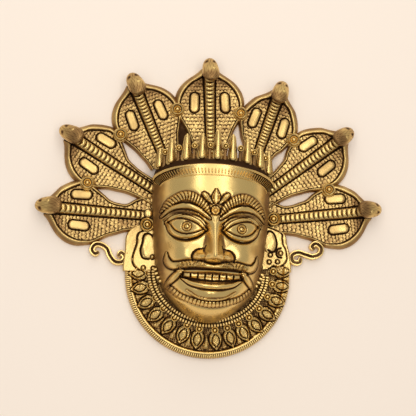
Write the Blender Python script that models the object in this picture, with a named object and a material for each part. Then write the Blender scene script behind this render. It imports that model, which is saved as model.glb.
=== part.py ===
"""Deity face mask, one hollow brass casting that lies on its flat back.

Lengths are millimetres until a mesh is made, which turns them into metres.
+X runs to the viewer's right, +Y towards the crown and +Z out of the face.
The back rim lies in Z = 0.
"""

import math

import bmesh
import bpy
from mathutils import Matrix, Vector

# Driving dimensions

MM = 0.001

WALL = 4.0
PLATE_TOP = 7.0
PLATE_FIELD = 5.0
PLATE_STEP = 0.25
WEB_TOP = 3.4
UNDER = 3.0
SKIN_STEP = 0.8
TRIANGLES = 9500
PLATE_RIM = 3.2
PLATE_DRAFT = 1.2
EMBED = 2.0
CENTRE_SHIFT = Vector((-1.8, -2.1, 0.0))

FACE_X = 2.6
FACE_ROLL = 2.5
FACE_TOP_WIDTH = 60.0
FACE_SHAPE = 2.25

CROWN_EDGE_Y = 19.6
CROWN_PEAK_Y = 36.5
BAND_INNER = (53.5, 15.0, 10.2)
BAND_OUTER = (61.5, 23.0, 13.4)
BAND_DROP = 3.0
BAND_THICK = 7.0
BAND_DEPTH = 2.6
GADROONS = 27
SPIKE_RADIUS = 5.6
SPIKE_LENGTH = 24.0
SPIKE_RING = 59.0
SPIKE_DEPTH = 50.0
SPIKE_FOOT_Y = 33.0
SPIKE_FOOT_LEAN = 11.0

HOOD_RIBS = 12
RIB_HALF = 4.8
RIB_RISE = 4.6
OVAL_OFFSET = 16.0
OVAL_REACH = 45.5
OVAL_HALF = (4.6, 11.0)
ROSETTE_RADIUS = 6.2
HEAD_REACH = 12.0
HEAD_RISE = 17.0
HEAD_TILT = 36.0

COLLAR_CENTRE = (0.0, -67.8)
COLLAR_RADIUS = 84.0
COLLAR_INNER = 38.0
COLLAR_START = 168.0
COLLAR_END = 372.0
RING_RADIUS = 3.7

# Each cobra hood by the tip of its head and the point where it meets the mask

HOODS = {
    "left_low": ((-174.6, 0.4), (-52.6, -8.9)),
    "left_mid": ((-150.9, 79.8), (-50.7, 15.6)),
    "left_high": ((-80.2, 138.1), (-44.8, 50.7)),
    "centre": ((1.2, 155.9), (2.9, 51.5)),
    "right_high": ((78.1, 133.2), (48.7, 49.3)),
    "right_mid": ((149.7, 83.4), (59.3, 16.3)),
    "right_low": ((178.2, 1.0), (59.1, -11.2)),
}

ROSETTES = [(-121.9, 24.1), (-89.1, 74.2), (-31.5, 101.5), (33.5, 98.7), (88.1, 72.2),
            (123.9, 20.9)]

# Half width of a hood by the distance from the tip of its head

PLATE_START = 10.0
BROAD = [(10, 7), (13, 10), (16, 15), (20, 21), (24, 26), (30, 31), (37, 34.5), (45, 36), (53, 35),
         (61, 33), (68, 29), (76, 24.5), (84, 21.5), (92, 18.5), (106, 16), (125, 15)]
SLIM_FRONT = [(10, 6.5), (13, 9), (16, 12.5), (20, 17.5), (24, 22), (30, 26), (37, 29.5), (45, 31.5)]
SLIM = SLIM_FRONT + [(55, 28), (62, 23), (69, 18), (76, 13), (84, 11), (92, 10), (104, 10), (125, 10)]
SLIM_LOW = SLIM_FRONT + [(55, 28), (62, 23), (69, 18), (76, 13), (84, 11), (92, 11), (100, 16),
                         (110, 20), (125, 20)]
MEDIUM = SLIM_FRONT + [(55, 30), (62, 26.5), (69, 23), (76, 18), (84, 15.7), (92, 13.8), (104, 13),
                       (125, 13)]
MEDIUM_LOW = SLIM_FRONT + [(55, 30), (62, 26.5), (69, 23), (76, 18), (84, 15.7), (92, 13.8), (100, 14),
                           (108, 18), (116, 21), (125, 21)]
HOOD_SIDES = {
    "left_low": (BROAD, SLIM_LOW),
    "left_mid": (BROAD, SLIM),
    "left_high": (BROAD, BROAD),
    "centre": (BROAD, BROAD),
    "right_high": (MEDIUM, MEDIUM),
    "right_mid": (MEDIUM, BROAD),
    "right_low": (MEDIUM_LOW, BROAD),
}

# Half width and front height of the head along its length

HEAD_WIDTH = [(-118, 3), (-115, 12), (-109, 23), (-100, 34), (-90, 43), (-78, 49), (-60, 54),
              (-35, 57.5), (0, 59.5), (70, 60)]
HEAD_HEIGHT = [(-118, 6), (-115, 26), (-109, 44), (-102, 53), (-94, 57), (-80, 59), (-55, 60),
               (-30, 60), (0, 61), (40, 60)]

# Rows and columns of the head; above LEAN_FROM the rows lean until they meet the crown's arch

FINE_ROWS = 104
HEAD_COLUMNS = [math.sin(math.pi / 2 * i / 36) for i in range(37)]
CHIN_Y = -118.0
LEAN_FROM = -14.0

# The crown's back slope: width share, step up, height share

CROWN_SLOPE = [(1.0, 7, 0.9), (0.97, 13, 0.58), (0.93, 17, 0.15)]


# Curves and small shapes

def along(keys, at):
    """Smooth curve through (position, value) keys."""
    if at <= keys[0][0]:
        return keys[0][1]
    if at >= keys[-1][0]:
        return keys[-1][1]
    last = len(keys) - 1
    spot = next(i for i in range(last) if keys[i + 1][0] >= at)
    (x0, y0), (x1, y1) = keys[spot], keys[spot + 1]
    step = x1 - x0
    slope = (y1 - y0) / step
    before = slope
    after = slope
    if spot > 0:
        before = (y1 - keys[spot - 1][1]) / (x1 - keys[spot - 1][0])
    if spot + 1 < last:
        after = (keys[spot + 2][1] - y0) / (keys[spot + 2][0] - x0)
    t = (at - x0) / step
    rise = t * t * (3 - 2 * t)
    lead = t * (1 - t) ** 2
    tail = -t * t * (1 - t)
    return y0 + (y1 - y0) * rise + step * (before * lead + after * tail)


def hill(across, up):
    """Smooth mound that is 1 in the middle and 0 from distance 1 on."""
    reach = min(1.0, math.hypot(across, up))
    return (1 - reach) ** 2 * (1 + 2 * reach)


def add_mesh(name, points, faces, frame=Matrix()):
    """One closed mesh object, faces turned outward."""
    mesh = bpy.data.meshes.new(name)
    work = bmesh.new()
    made = [work.verts.new((frame @ Vector(p) + CENTRE_SHIFT) * MM) for p in points]
    for face in faces:
        work.faces.new([made[i] for i in face])
    bmesh.ops.recalc_face_normals(work, faces=work.faces)
    for face in work.faces:
        face.smooth = True
    work.to_mesh(mesh)
    work.free()
    item = bpy.data.objects.new(name, mesh)
    bpy.context.collection.objects.link(item)
    return item


def loft(name, rings, frame=Matrix()):
    """Closed body through rings that have the same number of points."""
    count = len(rings[0])
    points = [p for ring in rings for p in ring]
    faces = []
    for r in range(len(rings) - 1):
        low = r * count
        high = low + count
        for i in range(count):
            j = (i + 1) % count
            faces.append((low + i, low + j, high + j, high + i))
    faces.append(tuple(range(count)))
    faces.append(tuple(range(len(points) - count, len(points))))
    return add_mesh(name, points, faces, frame)


def tube(name, path, radii, sides=5, frame=Matrix(), flat=1.0):
    """Bar swept along a path; flat scales its height."""
    rings = []
    last = len(path) - 1
    for i, centre in enumerate(path):
        here = Vector(centre)
        way = Vector(path[min(i + 1, last)]) - Vector(path[max(i - 1, 0)])
        side = way.cross(Vector((0, 0, 1)))
        if side.length < 1e-6:
            side = Vector((1, 0, 0))
        side.normalize()
        up = side.cross(way).normalized()
        ring = []
        for k in range(sides):
            turn = 2 * math.pi * (k + 0.5) / sides
            ring.append(here + side * radii[i] * math.cos(turn) + up * radii[i] * flat * math.sin(turn))
        rings.append(ring)
    return loft(name, rings, frame)


def drum(name, centre, levels, sides=8, stretch=(1.0, 1.0), turn=0.0, frame=Matrix()):
    """Stack of rings: each level is a radius and a height."""
    rings = []
    for radius, height in levels:
        ring = []
        for k in range(sides):
            angle = 2 * math.pi * k / sides
            px = radius * stretch[0] * math.cos(angle)
            py = radius * stretch[1] * math.sin(angle)
            gx = centre[0] + px * math.cos(turn) - py * math.sin(turn)
            gy = centre[1] + px * math.sin(turn) + py * math.cos(turn)
            ring.append((gx, gy, height))
        rings.append(ring)
    return loft(name, rings, frame)


# The head

def dome(x, y):
    """Height of the plain head under its features."""
    width = along(HEAD_WIDTH, y)
    share = min(1.0, abs(x) / width)
    return along(HEAD_HEIGHT, y) * (1 - share ** FACE_SHAPE) ** (1 / FACE_SHAPE)


def relief(x, y):
    """Height that brows, eyes, nose, cheeks, mouth and chin add to the dome."""
    a = abs(x)
    add = -6.0 * hill((a - 27) / 25, (y + 26) / 17)
    ball = 1 - ((a - 27) / 18.5) ** 2 - ((y + 26.5) / 11.5) ** 2
    if ball > 0:
        add += 7.5 * math.sqrt(ball)
    add += 2.5 * hill((a - 26) / 28, (y - 1) / 12)
    add += 5.0 * hill((a - 32) / 22, (y + 53) / 17)
    add += 5.0 * hill(x / 34, (y + 66) / 15)
    add -= 6.0 * hill(x / 34, (y + 75) / 9)
    add += 3.0 * hill(x / 30, (y + 83) / 9)
    add += 6.0 * hill(x / 19, (y + 96) / 13)
    ridge = along([(-63, 0), (-61, 8), (-58, 18), (-54, 20), (-45, 15), (-33, 9), (-22, 5), (-13, 0)], y)
    half = along([(-61, 13), (-54, 13), (-38, 9.5), (-20, 10)], y)
    add += ridge * hill(a / half, 0)
    add += 10.0 * hill((a - 12) / 9, (y + 56) / 8)
    return add


def face_z(x, y):
    """Height of the carved face."""
    width = along(HEAD_WIDTH, y)
    fade = min(1.0, max(0.0, (1 - abs(x) / width) / 0.12))
    return dome(x, y) + relief(x, y) * fade


def head_ring(back_y, front_y, inset=0.0, floor=0.0, columns=HEAD_COLUMNS):
    """Cross-section of the head; its length position leans with its height."""
    width = along(HEAD_WIDTH, front_y) - inset
    front = dome(0, front_y)
    shares = [-c for c in reversed(columns)] + columns[1:]
    ring = []
    for share in shares:
        x = width * share
        height = dome(x * width / (width + 1e-9), front_y)
        if inset:
            height = front * (1 - abs(share) ** FACE_SHAPE) ** (1 / FACE_SHAPE)
        y = back_y + (front_y - back_y) * height / front
        if inset:
            near = [(0, 0), (inset, 0), (-inset, 0), (0, inset), (0, -inset)]
            z = min(face_z(x + dx, y + dy) for dx, dy in near) - inset
            z = max(z, floor)
        else:
            z = face_z(x, y)
        if abs(share) == 1:
            z = floor
        ring.append((x, y, z))
    return ring


def lean(front_y):
    """Length position at the back edge for a row at its front."""
    share = max(0.0, (front_y - LEAN_FROM) / (CROWN_PEAK_Y - LEAN_FROM))
    return front_y - share * (CROWN_PEAK_Y - CROWN_EDGE_Y)


def head(frame):
    """Face and crown dome as one closed body on a flat back."""
    fronts = [CHIN_Y + (CROWN_PEAK_Y - CHIN_Y) * i / FINE_ROWS for i in range(FINE_ROWS + 1)]
    rings = [head_ring(lean(y), y, floor=-UNDER * 0.6) for y in fronts]
    arch = rings[-1]
    for wide, up, high in CROWN_SLOPE:
        rings.append([(x * wide, y + up, z * (high if z > 0 else 1.0)) for x, y, z in arch])
    return loft("mask", rings, frame)


def hollow(frame):
    """The open inside, one wall smaller than the head and cut past the back."""
    columns = [0, 0.18, 0.36, 0.54, 0.72, 0.88, 1.0]
    fronts = [-112, -106, -96, -82, -70, -58, -46, -34, -22, -8, 10, 30]
    rings = [head_ring(lean(y), y, WALL, -UNDER * 4, columns) for y in fronts]
    arch = rings[-1]
    rings.append([(x * 0.92, y + 12, z * (0.3 if z > 0 else 1.0)) for x, y, z in arch])
    return loft("hollow", rings, frame)


def ground():
    """Everything under the back plane, taken off last so that the back is true."""
    size = 200.0
    corners = [(-size, -size), (size, -size), (size, size), (-size, size)]
    rings = [[(x, y, z) for x, y in corners] for z in (-UNDER * 10, 0)]
    return loft("ground", rings)


# The crown

def band_point(turn, across, lift):
    """Point on the crown band: turn goes from -1 to 1 round the forehead, across from 0 at its
    inner edge to 1 at its outer edge."""
    angle = turn * math.pi / 2
    half, foot, rise = (a + (b - a) * across for a, b in zip(BAND_INNER, BAND_OUTER))
    height = dome(BAND_INNER[0] * math.sin(angle), CROWN_PEAK_Y) - BAND_DROP * across + lift
    return Vector((half * math.sin(angle), foot + rise * math.cos(angle), height))


def spike_point(turn, rise):
    """Point on the row of spikes, which stands behind the band on the crown's slope."""
    angle = turn * math.pi / 2
    out = math.cos(angle)
    foot = SPIKE_FOOT_Y + SPIKE_FOOT_LEAN * out
    return Vector((SPIKE_RING * math.sin(angle), foot + rise, SPIKE_DEPTH * out + PLATE_FIELD))


def band(frame):
    """Beaded band that flares from the brow: a proud ridge at each gadroon, a groove between."""
    rings = []
    for i in range(2 * GADROONS + 1):
        turn = i / GADROONS - 1
        lift = BAND_DEPTH if i % 2 else BAND_DEPTH * 0.45
        rings.append([
            band_point(turn, -0.1, -EMBED),
            band_point(turn, 0.15, lift),
            band_point(turn, 0.8, lift),
            band_point(turn, 1.0, BAND_DEPTH * 0.8),
            band_point(turn, 1.0, -BAND_THICK),
            band_point(turn, 0.0, -BAND_THICK * 1.4),
        ])
    return [loft("band", rings, frame)]


def spikes(frame):
    """Nine pointed buds that stand on the band, ring beads between them."""
    made = []
    turns = [-0.76, -0.54, -0.34, -0.164, 0.0, 0.164, 0.34, 0.54, 0.76]
    tall = [0.74, 0.89, 0.97, 0.9, 1.08, 0.97, 0.93, 0.82, 0.9]
    for i, turn in enumerate(turns):
        length = SPIKE_LENGTH * tall[i]
        wide = SPIKE_RADIUS * (0.85 + 0.15 * tall[i])
        path = [spike_point(turn, up * length) for up in (-0.12, 0.3, 1.0)]
        radii = [wide, wide * 0.84, wide * 0.34]
        made.append(tube(f"spike_{i}", path, radii, 6, frame))
    for i in range(8):
        turn = (turns[i] + turns[i + 1]) / 2
        made.append(bead(f"crown_ring_{i}", spike_point(turn, 9.0), 3.8, 8, frame))
        post = [spike_point(turn, 9.0), spike_point(turn, -4.0)]
        made.append(tube(f"crown_post_{i}", post, [2.0, 2.6], 6, frame))
    return made


def bead(name, centre, radius, sides=8, frame=Matrix()):
    """Flattened round bead with a sunk middle."""
    levels = [(radius, centre[2] - radius), (radius, centre[2]), (radius * 0.7, centre[2] + radius * 0.7)]
    return drum(name, centre, levels, sides, frame=frame)


# Brows, eyes, mouth and beard

def face_path(points, lift):
    """Points on the face, each raised by lift."""
    return [(x, y, face_z(x, y) + lift) for x, y in points]


def mirrored(points, side):
    """Points given for the right half, turned to the side asked for."""
    return [(x * side, y) for x, y in points]


def spread(points, count):
    """Evenly spaced points on the smooth curve through a few given ones."""
    xs = [(i, p[0]) for i, p in enumerate(points)]
    ys = [(i, p[1]) for i, p in enumerate(points)]
    last = len(points) - 1
    spots = [last * i / (count - 1) for i in range(count)]
    return [(along(xs, s), along(ys, s)) for s in spots]


def features(frame):
    """Raised lines and separate forms of the face."""
    made = []
    brow = [(5.5, -14), (15, -2), (28.5, 5), (42, -1), (51, -10)]
    roll = [(5.2, -18), (17, -8.5), (31.5, -6.5), (43, -9.5), (50, -15)]
    upper_lid = [(9.5, -29), (17, -21), (30, -16.5), (39.5, -17), (45.5, -21)]
    lower_lid = [(9.5, -29), (18, -34.5), (29, -36), (39, -31.5), (45.5, -21)]
    whisker = [(1, -62), (12, -65.5), (25, -69), (37, -67.5), (43.5, -61), (44.5, -53), (41, -49.5)]
    for side, word in ((-1, "left"), (1, "right")):
        lines = [
            ("brow", brow, [1.2, 4.2, 5, 5, 5, 4.0, 1.0], -0.6, 0.5),
            ("brow_roll", roll, [1.2, 1.8, 2.2, 2.2, 2.2, 1.8, 1.2], 0.2, 1.0),
            ("upper_lid", upper_lid, [1.0, 1.8, 2.1, 2.1, 2.1, 1.8, 1.0], 0.2, 0.9),
            ("lower_lid", lower_lid, [1.0, 1.6, 1.9, 1.9, 1.9, 1.6, 1.0], 0.2, 0.9),
            ("whisker", whisker, [3.6, 5.2, 5.4, 5.0, 4.6, 4.2, 3.4, 2.2, 1.2], 1.0, 0.8),
        ]
        for label, points, radii, lift, flat in lines:
            line = face_path(mirrored(spread(points, len(radii)), side), lift)
            made.append(tube(f"{label}_{word}", line, radii, 4, frame, flat))
        eye = (26.9 * side, -26.7)
        top = face_z(*eye)
        made.append(drum(f"pupil_{word}", eye, [(4.4, top - 3), (3.4, top + 1.2)], 7, frame=frame))
        fang = [(29, -69), (34, -73.5), (39.5, -79), (44, -85)]
        line = face_path(mirrored(fang, side), 2.5)
        made.append(tube(f"tusk_{word}", line, [2.6, 2.7, 2.1, 0.9], 5, frame))
    upper_lip = [(-33, -69.5), (-18, -69.5), (0, -68.5), (18, -69.5), (33, -69.5)]
    lower_lip = [(-29, -76), (-18, -82), (0, -85), (18, -82), (29, -76)]
    beard = [(-40, -83), (-25, -94), (0, -100.7), (25, -94), (40, -83)]
    upper_radii = [1.6, 2.2, 2.4, 2.4, 2.4, 2.2, 1.6]
    lower_radii = [1.8, 2.9, 3.4, 3.5, 3.4, 2.9, 1.8]
    beard_radii = [2.4] * 9
    made.append(tube("upper_lip", face_path(spread(upper_lip, 7), 0.6), upper_radii, 4, frame))
    made.append(tube("lower_lip", face_path(spread(lower_lip, 7), 0.4), lower_radii, 5, frame))
    made.append(tube("beard", face_path(spread(beard, 9), 0.0), beard_radii, 4, frame))
    for i in range(8):
        x = (i - 3.5) * 6.6
        foot = -77.0 + (x / 30) ** 2 * 3
        top = face_z(x, foot) + 2.6
        levels = [(3.0, top - 6), (2.5, top)]
        made.append(drum(f"tooth_{i}", (x, foot + 1.5), levels, 4, (1.45, 1.55), math.pi / 4, frame))
    crest = [(0, -2), (0, 3.5), (0, 11)]
    made.append(tube("forehead_leaf", face_path(crest, 0.0), [2.6, 3.2, 0.8], 6, frame, 0.8))
    for side in (-1, 1):
        petal = [(3 * side, 3), (8 * side, 4.5), (10.5 * side, 8)]
        made.append(tube(f"petal_{side}", face_path(petal, 0.0), [1.6, 2.0, 1.0], 5, frame, 0.8))
    spot = face_z(0, -10)
    made.append(drum("forehead_bead", (0, -10), [(4, spot - 2), (3, spot + 1.6)], 7, frame=frame))
    return made


# The cobra hoods

def hood_frame(tip, base):
    """Frame whose origin is the head's tip and whose Y runs to the mask."""
    way = Vector((base[0] - tip[0], base[1] - tip[1], 0)).normalized()
    across = Vector((way.y, -way.x, 0))
    place = Matrix((across, way, Vector((0, 0, 1)))).transposed().to_4x4()
    place.translation = Vector((tip[0], tip[1], 0))
    return place, (Vector(base) - Vector(tip)).length


def hood(name, tip, base):
    """Leaf plate with a raised rim, ribbed throat, ovals and head."""
    place, reach = hood_frame(tip, base)
    plus, minus = HOOD_SIDES[name]
    stations = [PLATE_START, 13, 16, 20, 26, 34, 45, 54, 64, 72, 80, 92, 104, reach]
    step = PLATE_STEP * (list(HOODS).index(name) % 2)
    top = PLATE_TOP + step
    field = PLATE_FIELD + step

    def outline(inset, height):
        squeeze = [max(s, PLATE_START + inset * 1.6) for s in stations]
        right = [(max(along(plus, s) - inset, 1.0), t, height) for s, t in zip(stations, squeeze)]
        left = [(-max(along(minus, s) - inset, 1.0), t, height) for s, t in zip(stations, squeeze)]
        return right + left[::-1]

    deep = PLATE_DRAFT + PLATE_RIM
    slope = PLATE_DRAFT / top
    rings = [outline(-slope * UNDER, -UNDER - step), outline(PLATE_DRAFT, top), outline(deep, top),
             outline(deep + 0.8, field)]
    made = [loft(f"hood_{name}", rings, place)]

    first = 24.0
    ribs = []
    pitch = (reach - 12 - first) / HOOD_RIBS
    for i in range(HOOD_RIBS):
        for share, rise in ((0.05, 1.0), (0.8, 0.72)):
            s = first + (i + share) * pitch
            high = PLATE_FIELD + RIB_RISE * rise
            half = RIB_HALF * rise ** 0.3
            flat = half * 0.55
            ribs.append([(-half, s, EMBED), (-flat, s, high), (flat, s, high), (half, s, EMBED)])
    made.append(loft(f"throat_{name}", ribs, place))

    for side in (-1, 1):
        levels = [(1.0, EMBED), (0.8, PLATE_FIELD + 2.4)]
        made.append(drum(f"oval_{name}_{side}", (OVAL_OFFSET * side, OVAL_REACH), levels, 8, OVAL_HALF,
                         0.08 * side, place))

    skull = [(-13.0, 2.5, 2.0), (-10.5, 5.5, 4.4), (-5.0, 7.4, 5.8), (3.0, 7.6, 5.8), (10.0, 6.4, 4.8),
             (16.0, 5.0, 3.6), (19.0, 2.4, 1.8)]
    rings = []
    tilt = math.radians(HEAD_TILT)
    out = Vector((0, math.cos(tilt), math.sin(tilt)))
    over = Vector((0, -math.sin(tilt), math.cos(tilt)))
    middle = Vector((0, HEAD_REACH, HEAD_RISE))
    for along_head, half, thick in skull:
        ring = []
        for k in range(10):
            turn = 2 * math.pi * k / 10
            side = Vector((half * math.cos(turn), 0, 0))
            ring.append(middle + out * along_head + side + over * thick * math.sin(turn))
        rings.append(ring)
    made.append(loft(f"head_{name}", rings, place))
    neck = [(0, 32.0, 4.0), (0, 20.0, 8.5), (0, 11.0, 14.0)]
    made.append(tube(f"neck_{name}", neck, [5.0, 6.0, 6.8], 8, place))
    return made


# The collar, ears and scrolls

def collar():
    """Cape from ear to ear with a roped border, buds and ring beads."""
    made = []
    steps = 60
    cx, cy = COLLAR_CENTRE
    under = -UNDER * 1.5
    profile = [(COLLAR_INNER, under), (COLLAR_RADIUS, under), (COLLAR_RADIUS - 1.6, 6.2),
               (COLLAR_RADIUS - 4.4, 6.0), (COLLAR_RADIUS - 5.4, 4.4), (COLLAR_INNER, 12.0)]
    rings = []
    for i in range(steps + 1):
        angle = math.radians(COLLAR_START + (COLLAR_END - COLLAR_START) * i / steps)
        rings.append([(cx + r * math.cos(angle), cy + r * math.sin(angle), z) for r, z in profile])
    made.append(loft("collar", rings))
    for i in range(15):
        angle = math.radians(180.5 + 179.0 * i / 14)
        way = (math.cos(angle), math.sin(angle))
        spot = (cx + (COLLAR_RADIUS - 14) * way[0], cy + (COLLAR_RADIUS - 14) * way[1])
        place = Matrix.Translation((spot[0], spot[1], 0)) @ Matrix.Rotation(angle - math.pi / 2, 4, "Z")
        leaf = [(0, 8.4), (2.6, 5.0), (4.5, 0.5), (3.9, -4.4), (0, -7.4), (-3.9, -4.4), (-4.5, 0.5),
                (-2.6, 5.0)]
        rings = [[(x, y, 3.0) for x, y in leaf], [(x, y, 7.4) for x, y in leaf],
                 [(x * 0.5, y * 0.7, 10.4) for x, y in leaf]]
        made.append(loft(f"bud_{i}", rings, place))
        inner = (cx + (COLLAR_RADIUS - 26) * way[0], cy + (COLLAR_RADIUS - 26) * way[1], 9.4)
        made.append(bead(f"collar_ring_{i}", inner, RING_RADIUS))
    return made


def shoulders():
    """Upright ends of the cape that reach the lowest hoods."""
    made = []
    edge = {
        "left": [(-84, -64), (-84, -46), (-81, -26), (-66, -16), (-52, -28), (-52, -66),
                 (-68, -74)],
        "right": [(83, -64), (82, -46), (76, -25), (66, -18), (54, -28), (54, -66), (68, -74)],
    }
    for word, outline in edge.items():
        rings = [[(x, y, z) for x, y in outline] for z in (-UNDER, 7.6)]
        made.append(loft(f"shoulder_{word}", rings))
    return made


def necklaces(frame):
    """Two rows round the jaw."""
    made = []
    for row, (grow, high) in enumerate(((0.8, 13.4), (5.0, 11.6))):
        path = []
        for i in range(33):
            angle = math.radians(180 + 180 * i / 32)
            x = (54.5 + grow) * math.cos(angle)
            y = -66 + (48 + grow) * math.sin(angle)
            path.append((x, y, high))
        made.append(tube(f"necklace_{row}", path, [2.1] * 33, 6, frame))
    return made


def ears():
    """Flat ears with a raised pad, their discs and a stud."""
    made = []
    plates = {
        "left": [(-69.3, -25.9), (-71.7, -37.0), (-75.2, -48.0), (-75.9, -54.9), (-73.3, -60.1),
                 (-67.5, -64.0), (-58.5, -65.0), (-50.5, -58.4), (-50.5, -25.2)],
        "right": [(73.5, -24.1), (75.2, -30.5), (76.0, -36.3), (78.6, -41.6), (79.7, -50.9),
                  (76.8, -56.1), (71.5, -59.1), (62.1, -60.8), (55.2, -54.3), (55.4, -22.8)],
    }
    pads = {
        "left": [(-54.0, -29.2), (-60.7, -27.2), (-64.7, -29.4), (-66.7, -36.5), (-67.6, -43.9),
                 (-65.6, -50.8), (-60.2, -52.4), (-50.0, -49.4), (-50.0, -39.3)],
        "right": [(56.0, -26.6), (61.2, -23.3), (65.4, -24.9), (67.8, -30.6), (68.6, -37.0),
                  (67.0, -42.7), (63.9, -43.9), (56.9, -42.4), (55.0, -35.0)],
    }
    for word, outline in plates.items():
        rings = [[(x, y, z) for x, y in outline] for z in (-UNDER * 2, 9.8)]
        made.append(loft(f"ear_{word}", rings))
    for word, outline in pads.items():
        cx = sum(x for x, _ in outline) / len(outline)
        cy = sum(y for _, y in outline) / len(outline)
        rings = []
        for share, z in ((1.0, EMBED), (0.98, 10.2), (0.7, 12.2)):
            rings.append([(cx + (x - cx) * share, cy + (y - cy) * share, z) for x, y in outline])
        made.append(loft(f"ear_pad_{word}", rings))
    disc = [(7.4, EMBED), (6.6, 12.4), (3.4, 11.2)]
    made.append(drum("ear_disc_left", (-61.5, -18.0), disc))
    made.append(drum("ear_disc_right", (66.2, -10.4), disc))
    made.append(drum("stud_left", (-60.5, -6.6), [(4.6, EMBED), (3.6, 11.6)], 6))
    return made


def scrolls():
    """S-scrolls that tie the lowest hoods to the collar."""
    made = []
    paths = {
        "left": [(-109.4, -45.1), (-113.3, -47.1), (-116.4, -43.1), (-113.4, -38.1), (-107.5, -38.0),
                 (-101.4, -42.0), (-98.4, -49.0), (-93.3, -54.9), (-86.3, -54.9), (-83.4, -49.8),
                 (-87.4, -45.8), (-90.4, -49.9)],
        "right": [(109.1, -40.5), (106.1, -37.5), (110.2, -34.4), (115.3, -38.4), (114.2, -44.6),
                  (107.0, -47.7), (98.8, -45.7), (91.6, -43.8), (85.4, -46.9), (86.4, -53.0),
                  (92.5, -54.0), (94.6, -48.9)],
    }
    for word, points in paths.items():
        line = [(x, y, 3.4) for x, y in spread(points, 34)]
        radii = [1.8] + [2.7] * 32 + [1.8]
        made.append(tube(f"scroll_{word}", line, radii, 6, flat=1.5))
    return made


def web():
    """Sunk plate that closes the slot between the centre hood and the one left of it."""
    outline = [(-36.0, 56.0), (-16.0, 56.0), (-16.0, 92.0), (-36.0, 92.0)]
    return loft("web", [[(x, y, z) for x, y in outline] for z in (-UNDER, WEB_TOP)])


def rosettes():
    """Ringed discs over the joints between hoods."""
    made = []
    r = ROSETTE_RADIUS
    seat = PLATE_FIELD + 0.6
    levels = [(r + 2.5, -UNDER * 2), (r + 2.5, seat), (r, seat), (r * 0.8, 9.2), (r * 0.4, 8.2)]
    for i, spot in enumerate(ROSETTES):
        made.append(drum(f"rosette_{i}", spot, levels, 8))
    return made


# Assembly

def brass():
    """Polished golden brass."""
    material = bpy.data.materials.new("brass")
    material.use_nodes = True
    shader = material.node_tree.nodes["Principled BSDF"]
    shader.inputs["Base Color"].default_value = (0.78, 0.55, 0.22, 1.0)
    shader.inputs["Metallic"].default_value = 1.0
    shader.inputs["Roughness"].default_value = 0.28
    return material


def keep_casting(item):
    """Leave only the casting's own skin, without the specks that thinning splits off it."""
    work = bmesh.new()
    work.from_mesh(item.data)
    loose = set(work.verts)
    shells = []
    while loose:
        front = [loose.pop()]
        shell = list(front)
        while front:
            near = {edge.other_vert(point) for point in front for edge in point.link_edges}
            front = list(near & loose)
            loose.difference_update(front)
            shell += front
        shells.append(shell)
    shells.sort(key=len)
    for shell in shells[:-1]:
        bmesh.ops.delete(work, geom=shell, context="VERTS")
    work.to_mesh(item.data)
    work.free()


def main():
    for item in list(bpy.data.objects):
        bpy.data.objects.remove(item)

    frame = Matrix.Translation((FACE_X, 0, 0)) @ Matrix.Rotation(math.radians(-FACE_ROLL), 4, "Z")
    mask = head(frame)
    carving = []
    for name, (tip, base) in HOODS.items():
        carving += hood(name, tip, base)
    carving += [web()] + rosettes() + collar() + shoulders() + necklaces(frame) + ears() + scrolls()
    carving += band(frame) + spikes(frame) + features(frame)

    bpy.ops.object.select_all(action="DESELECT")
    for item in carving + [mask]:
        item.select_set(True)
    bpy.context.view_layer.objects.active = mask
    bpy.ops.object.join()

    skin = mask.modifiers.new("skin", "REMESH")
    skin.mode = "VOXEL"
    skin.voxel_size = SKIN_STEP * MM
    bpy.ops.object.modifier_apply(modifier=skin.name)
    thin = mask.modifiers.new("thin", "DECIMATE")
    thin.ratio = TRIANGLES / (2 * len(mask.data.polygons))
    bpy.ops.object.modifier_apply(modifier=thin.name)
    keep_casting(mask)
    for item in (hollow(frame), ground()):
        item.hide_render = True
        item.display_type = "WIRE"
        cut = mask.modifiers.new(item.name, "BOOLEAN")
        cut.operation = "DIFFERENCE"
        cut.object = item
    mask.data.materials.append(brass())


main()
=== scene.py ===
import math

import bmesh
import bpy
import numpy as np
from mathutils import Matrix, Vector


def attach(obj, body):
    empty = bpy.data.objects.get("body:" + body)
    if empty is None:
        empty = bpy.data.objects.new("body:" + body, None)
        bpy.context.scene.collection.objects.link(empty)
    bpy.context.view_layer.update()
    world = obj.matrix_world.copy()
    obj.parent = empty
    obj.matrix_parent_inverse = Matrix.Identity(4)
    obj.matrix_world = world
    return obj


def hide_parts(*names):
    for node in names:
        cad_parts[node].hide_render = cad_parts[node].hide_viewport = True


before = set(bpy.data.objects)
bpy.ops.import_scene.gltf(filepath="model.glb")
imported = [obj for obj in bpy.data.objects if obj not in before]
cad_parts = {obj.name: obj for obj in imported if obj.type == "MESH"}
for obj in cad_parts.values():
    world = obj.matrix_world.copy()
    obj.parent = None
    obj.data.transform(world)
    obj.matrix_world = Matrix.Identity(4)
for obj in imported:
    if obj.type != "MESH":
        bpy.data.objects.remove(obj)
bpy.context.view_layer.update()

bl_info = {
    "name": "Brass Face Mask",
    "version": (1, 0, 0),
    "blender": (4, 5, 0),
    "location": "View3D > Sidebar > Face Mask",
    "description": "Carved face, crown, cobra hoods and collar of a hollow brass mask",
    "category": "Object",
}

# Lengths are millimetres until a mesh is made. +X is the viewer's right, +Y the crown, +Z out of the face.
# A list of pairs is a profile, read by along()

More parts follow.
